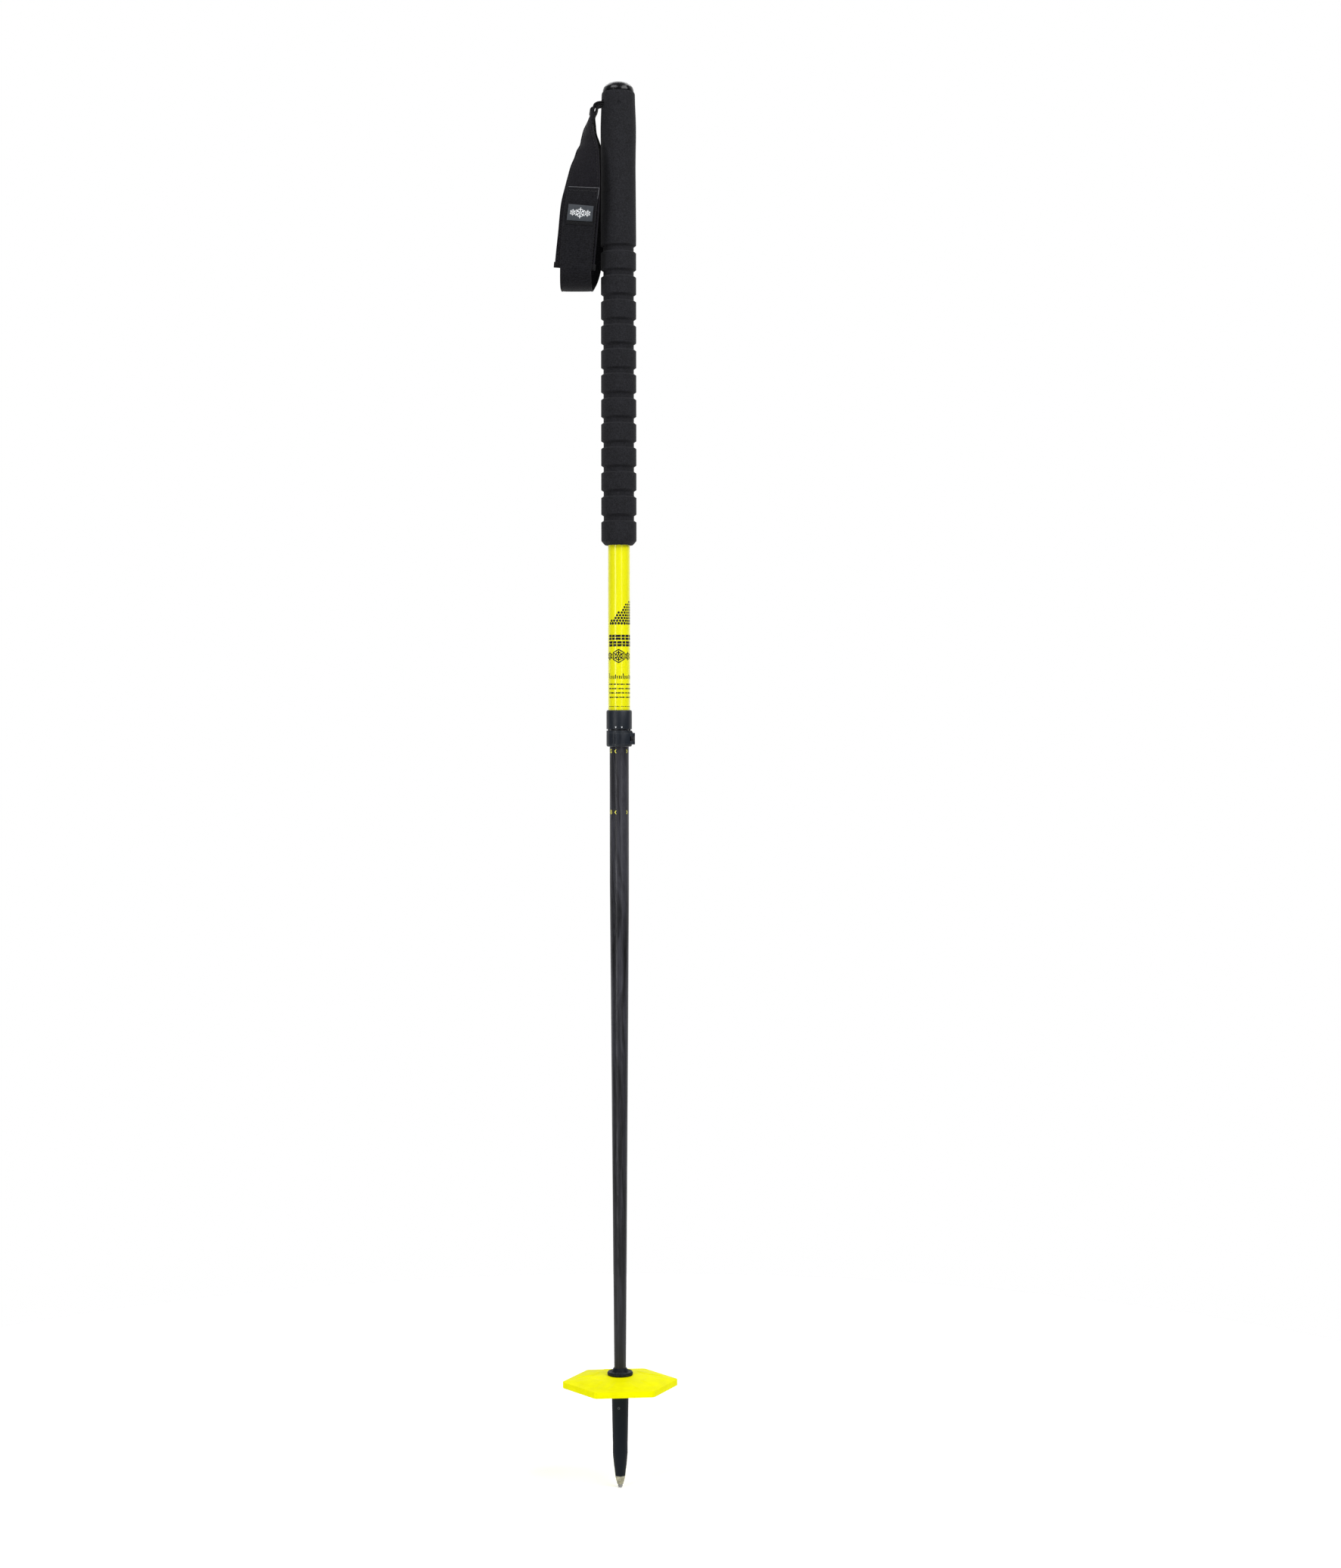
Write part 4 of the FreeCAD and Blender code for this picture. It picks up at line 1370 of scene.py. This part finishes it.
def webbing_run():
    """Frames of the one webbing: from its sewn tail inside the band's top up the outer
    strand, round the pin and down the inner strand to a tail sewn inside the panel."""
    pin_x = (box_mm("strap_pin")[0].x + box_mm("strap_pin")[1].x) / 2
    radius = box_mm("strap_pin")[1].x - pin_x + 0.55
    stations = [
        (-23.2, -3.6, 1117.5, WEBBING_WIDTH, 68.0),
        (-21.9, -2.2, 1122.2, WEBBING_WIDTH, 78.0),
        (-20.6, -1.0, 1127.0, WEBBING_WIDTH, 84.0),
        (-20.5, -0.6, 1131.2, WEBBING_WIDTH, 87.0),
        FRONT_RUN[1],
    ]
    # (x, rise above the pin's middle) in through the slot, round the pin and out again.
    through = [(-17.2, 0.5), (-14.5, 1.0), (-8.0, 1.7)]
    for k in range(7):
        a = math.radians(100 - 200 * k / 6)
        through.append((pin_x + radius * math.cos(a), radius * math.sin(a)))
    through += [(-8.0, -1.4), (-14.5, -0.8), (-16.9, -1.6)]
    stations += [(x, 0.0, PIN_Z + rise, WEBBING_WIDTH, 90.0) for x, rise in through]
    inner = [s for s in reversed(LOOP_RUN[PANEL_STATIONS - 1:]) if s[2] < PIN_Z - 4]
    stations += [(x, y, z, min(width, TAIL_WIDTH), turn) for x, y, z, width, turn in inner]
    stations.append((-25.2, 19.1, 1034.0, TAIL_WIDTH, 11.0))
    return run_frames(smoothed(stations, 0.8))


def make_webbing():
    webbing = ribbon("strap_webbing_run", webbing_run(), WEBBING_SECTION, WEBBING)
    finish_piece(webbing, None, "strap_webbing", "strap_anchor", "strap_webbing")
    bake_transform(webbing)


HEM_LENGTH = 4.6
FOLD_LENGTH = 3.6


def make_band():
    stretch = run_frames(smoothed(FRONT_RUN[WEBBING_STATIONS - 1:]))
    band = ribbon("wrist_band", stretch, BAND_SECTION, BAND_CLOTH)
    finish_piece(band, "strap", "strap_band", "strap_band")
    low = stretch[-1][0].z
    hem = ribbon("band_hem", frames_between(stretch, low + HEM_LENGTH, low + 0.02), HEM_SECTION,
                 BINDING, stretch_by=1.6)
    finish_piece(hem, "strap", "strap_band")
    high = stretch[0][0].z
    fold = ribbon("band_fold", frames_between(stretch, high - 0.02, high - FOLD_LENGTH),
                  FOLD_SECTION, BINDING, stretch_by=0.6)
    finish_piece(fold, "strap", "strap_band")
    spots = []
    for height in (-0.66, 0.66):
        for side in (1, -1):
            spots += edge_stitches(stretch, 2.05, height, side)
    finish_piece(stitch_beads("band_stitches", spots, 0.2), "strap", "strap_band")


def panel_point(frames, share, distance, height):
    """A point on the panel: share of its width from the outer edge, distance from its top."""
    centre, across, normal, width, _ = frame_along(frames, frames[0][4] + distance)
    drop = PANEL_SLANT * share * max(0.0, 1.0 - distance / SLANT_REACH)
    return centre + across * width * (0.5 - share) + normal * height + across.cross(normal) * drop


WELT_SIDES = 8


def tube_along(name, points, radius, material):
    """A round strand through points, in millimetres."""
    verts = []
    for i, point in enumerate(points):
        before, after = points[max(i - 1, 0)], points[min(i + 1, len(points) - 1)]
        along = (after - before).normalized()
        side = along.cross(Vector((0.3, -1.0, 0.2))).normalized()
        size = radius * (0.5 if i in (0, len(points) - 1) else 1.0)
        verts += circle(point, side, side.cross(along), size, WELT_SIDES)
    faces = strand_faces(0, len(points), WELT_SIDES)
    strand = piece(name, verts, faces, material, None, 60)
    tidy_normals(strand)
    return strand


def zigzag(frames):
    """A zigzag seam of 17 stitches under the panel's top edge."""
    spots = []
    count = 17
    for k in range(count):
        ends = []
        for step in (k, k + 1):
            share = 0.06 + 0.88 * step / count
            ends.append(panel_point(frames, share, 3.6 if step % 2 else 2.5, -0.72))
        lift = -frame_along(frames, frames[0][4] + 3.0)[2]
        spots.append((ends[0].lerp(ends[1], 0.06), ends[0].lerp(ends[1], 0.94), lift))
    return spots


def make_panel():
    stretch = run_frames(smoothed(LOOP_RUN[:PANEL_STATIONS]))
    panel = ribbon("elastic_panel", stretch, PANEL_SECTION, ELASTIC, slant=PANEL_SLANT)
    finish_piece(panel, "strap", "strap_elastic", "strap_panel")
    seam = stitch_beads("panel_stitches", zigzag(stretch), 0.18)
    finish_piece(seam, "strap", "strap_elastic")
    edge = [panel_point(stretch, k / 20, 0.35, -0.5) for k in range(21)]
    edge += [panel_point(stretch, 0.995, 0.35 + 1.2 * k, -0.4) for k in range(1, 8)]
    welt = tube_along("panel_edge", edge, 0.22, PALE_THREAD)
    finish_piece(welt, "strap", "strap_elastic")
    return stretch


def make_hook_patch(panel_frames):
    stretch = frames_between(panel_frames, PATCH_TOP, PATCH_LOW)
    patch = ribbon("hook_tape_patch", stretch, PATCH_SECTION, HOOKS, 1.1, PATCH_WIDTH)
    finish_piece(patch, "strap", "strap_elastic", "hook_patch")


def make_label(panel_frames):
    base = ribbon(
        "label_backing", frames_between(panel_frames, LABEL_TOP + 0.4, LABEL_LOW), FLAT_SECTION,
        BINDING, offset=LABEL_BASE_OUT, widest=LABEL_WIDTH + 0.8, aside=LABEL_ASIDE,
    )
    finish_piece(base, "strap", "label_dark", "label_base")
    plate = ribbon(
        "label_face", frames_between(panel_frames, LABEL_TOP, LABEL_SPLIT), FLAT_SECTION,
        LABEL, offset=LABEL_PLATE_OUT, widest=LABEL_WIDTH, aside=LABEL_ASIDE,
    )
    finish_piece(plate, "strap", "label_grey", "label_plate")
    finish_piece(label_crystals(panel_frames), "strap", "label_grey")


def label_crystals(panel_frames):
    """Three raised snow crystals across the label."""
    middle = frame_at(panel_frames, (LABEL_TOP + LABEL_SPLIT) / 2)
    across, normal = middle[1:3]
    centre = middle[0] - across * LABEL_ASIDE
    upright = across.cross(normal)
    upright = upright if upright.z > 0 else -upright
    shapes = []
    for place, size in ((-6.2, 2.7), (0.0, 4.4), (6.2, 2.7)):
        shapes += snow_crystal(place, 0.0, size)
    verts, faces = [], []
    for shape in shapes:
        faces += strand_faces(len(verts), 2, 4)
        for lift in CRYSTAL_LIFTS:
            verts += [centre - normal * lift - across * x + upright * z for x, z in shape]
    crystals = piece("label_crystals", verts, faces, WHITE_INK, None, 30)
    tidy_normals(crystals)
    return crystals


# ---- inner parts keep their CAD shapes ----------------------------------------
def paint_inner_parts():
    for node, material in (
        ("head_insert", PLASTIC), ("strap_pin", STEEL), ("shaft_plug", PLASTIC),
    ):
        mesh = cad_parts[node].data
        mesh.materials.clear()
        mesh.materials.append(material)


# ---- floor, light and camera --------------------------------------------------
# Lengths in this section are in metres.
FLOOR_RADIUS = 0.9
FLOOR_GLOW = (0.22, 0.32)
DARK_SIDE = 0.1
LAMP_AIM = (0, 0, 0.6)
CAMERA_PLACE = (0.0422, -2.325, 0.628)
CAMERA_LENS = 64.92
CAMERA_SHIFT = -0.039
CAMERA_ROLL = 0.0015


def floor_paint():
    """White that glows a little, more so away from the pole."""
    p = Paint("floor_white", Specular_IOR_Level=0.1, Emission_Color=(1, 1, 1, 1))
    along, deep, _ = p.split(p.place())
    away = p.math("SQRT", p.math("ADD", p.math("POWER", along, 2.0), p.math("POWER", deep, 2.0)))
    p.set("Emission Strength", p.ramp(away, 0.1, FLOOR_RADIUS, *FLOOR_GLOW))
    cloud = p.noise(p.place(), 3, 4, 0.6)
    p.color(p.mix(cloud, (0.93, 0.93, 0.93), (0.95, 0.95, 0.95)))
    p.rough(p.ramp(cloud, 0.3, 0.7, 0.85, 0.95))
    return p.material


def make_floor():
    mesh = bmesh.new()
    bmesh.ops.create_circle(mesh, cap_ends=True, segments=96, radius=FLOOR_RADIUS)
    floor = built("floor", mesh, floor_paint())
    floor.location.z = -0.0005


def make_world():
    """Surroundings that light the pole less from the camera's side and look white."""
    world = bpy.data.worlds.new("studio")
    bpy.context.scene.world = world
    world.use_nodes = True
    sky = Nodes(world.node_tree)
    depth = sky.split(sky.coordinates.outputs["Generated"])["Y"]
    glow = sky.ramp(depth, 0.0, 0.75, DARK_SIDE)
    camera_ray = sky.node("LightPath").outputs["Is Camera Ray"]
    background = sky.tree.nodes["Background"]
    background.inputs["Color"].default_value = (1, 1, 1, 1)
    sky.put(background.inputs["Strength"], sky.math("MAXIMUM", camera_ray, glow))


def soft_light(name, azimuth, elevation, distance, width, height, radiance):
    """A rectangular lamp turned to the pole; azimuth 0 is the camera's side, then to +X."""
    a, e = math.radians(azimuth), math.radians(elevation)
    away = Vector((math.sin(a) * math.cos(e), -math.cos(a) * math.cos(e), math.sin(e)))
    lamp = bpy.data.lights.new(name, "AREA")
    lamp.shape = "RECTANGLE"
    lamp.size, lamp.size_y = width, height
    lamp.energy = radiance * math.pi * width * height
    obj = linked(name, lamp)
    obj.location = Vector(LAMP_AIM) + away * distance
    obj.rotation_euler = away.to_track_quat("Z", "Y").to_euler()


def make_lights():
    soft_light("strip_left", -37, 0, 2.2, 0.34, 2.2, 5.6)
    soft_light("strip_right", 29, 0, 2.2, 0.3, 2.2, 2.3)
    soft_light("top_left", -35, 48, 2.4, 1.6, 1.2, 4.0)
    soft_light("top_right", 50, 42, 2.4, 1.8, 1.4, 5.0)
    soft_light("back_top", 180, 55, 2.4, 1.6, 1.2, 2.0)


def make_camera():
    data = bpy.data.cameras.new("camera")
    data.lens = CAMERA_LENS
    data.sensor_width = 36.0
    data.sensor_fit = "AUTO"
    data.shift_y = CAMERA_SHIFT
    data.clip_start = 0.05
    camera = linked("camera", data)
    camera.location = CAMERA_PLACE
    camera.rotation_euler = (math.radians(90), CAMERA_ROLL, 0)
    bpy.context.scene.camera = camera


make_grip()
make_cap()
make_tube()
make_tube_print()
make_collar()
make_clamp_marks()
make_clamp_hardware()
make_lever()
make_shaft()
make_scale()
make_ferrule()
make_ferrule_mark()
make_tip()
make_ring()
make_basket()
make_basket_pads()
make_webbing()
make_band()
panel_frames = make_panel()
make_hook_patch(panel_frames)
make_label(panel_frames)
paint_inner_parts()

make_floor()
make_world()
make_lights()
make_camera()
bpy.context.scene.view_settings.view_transform = "Standard"
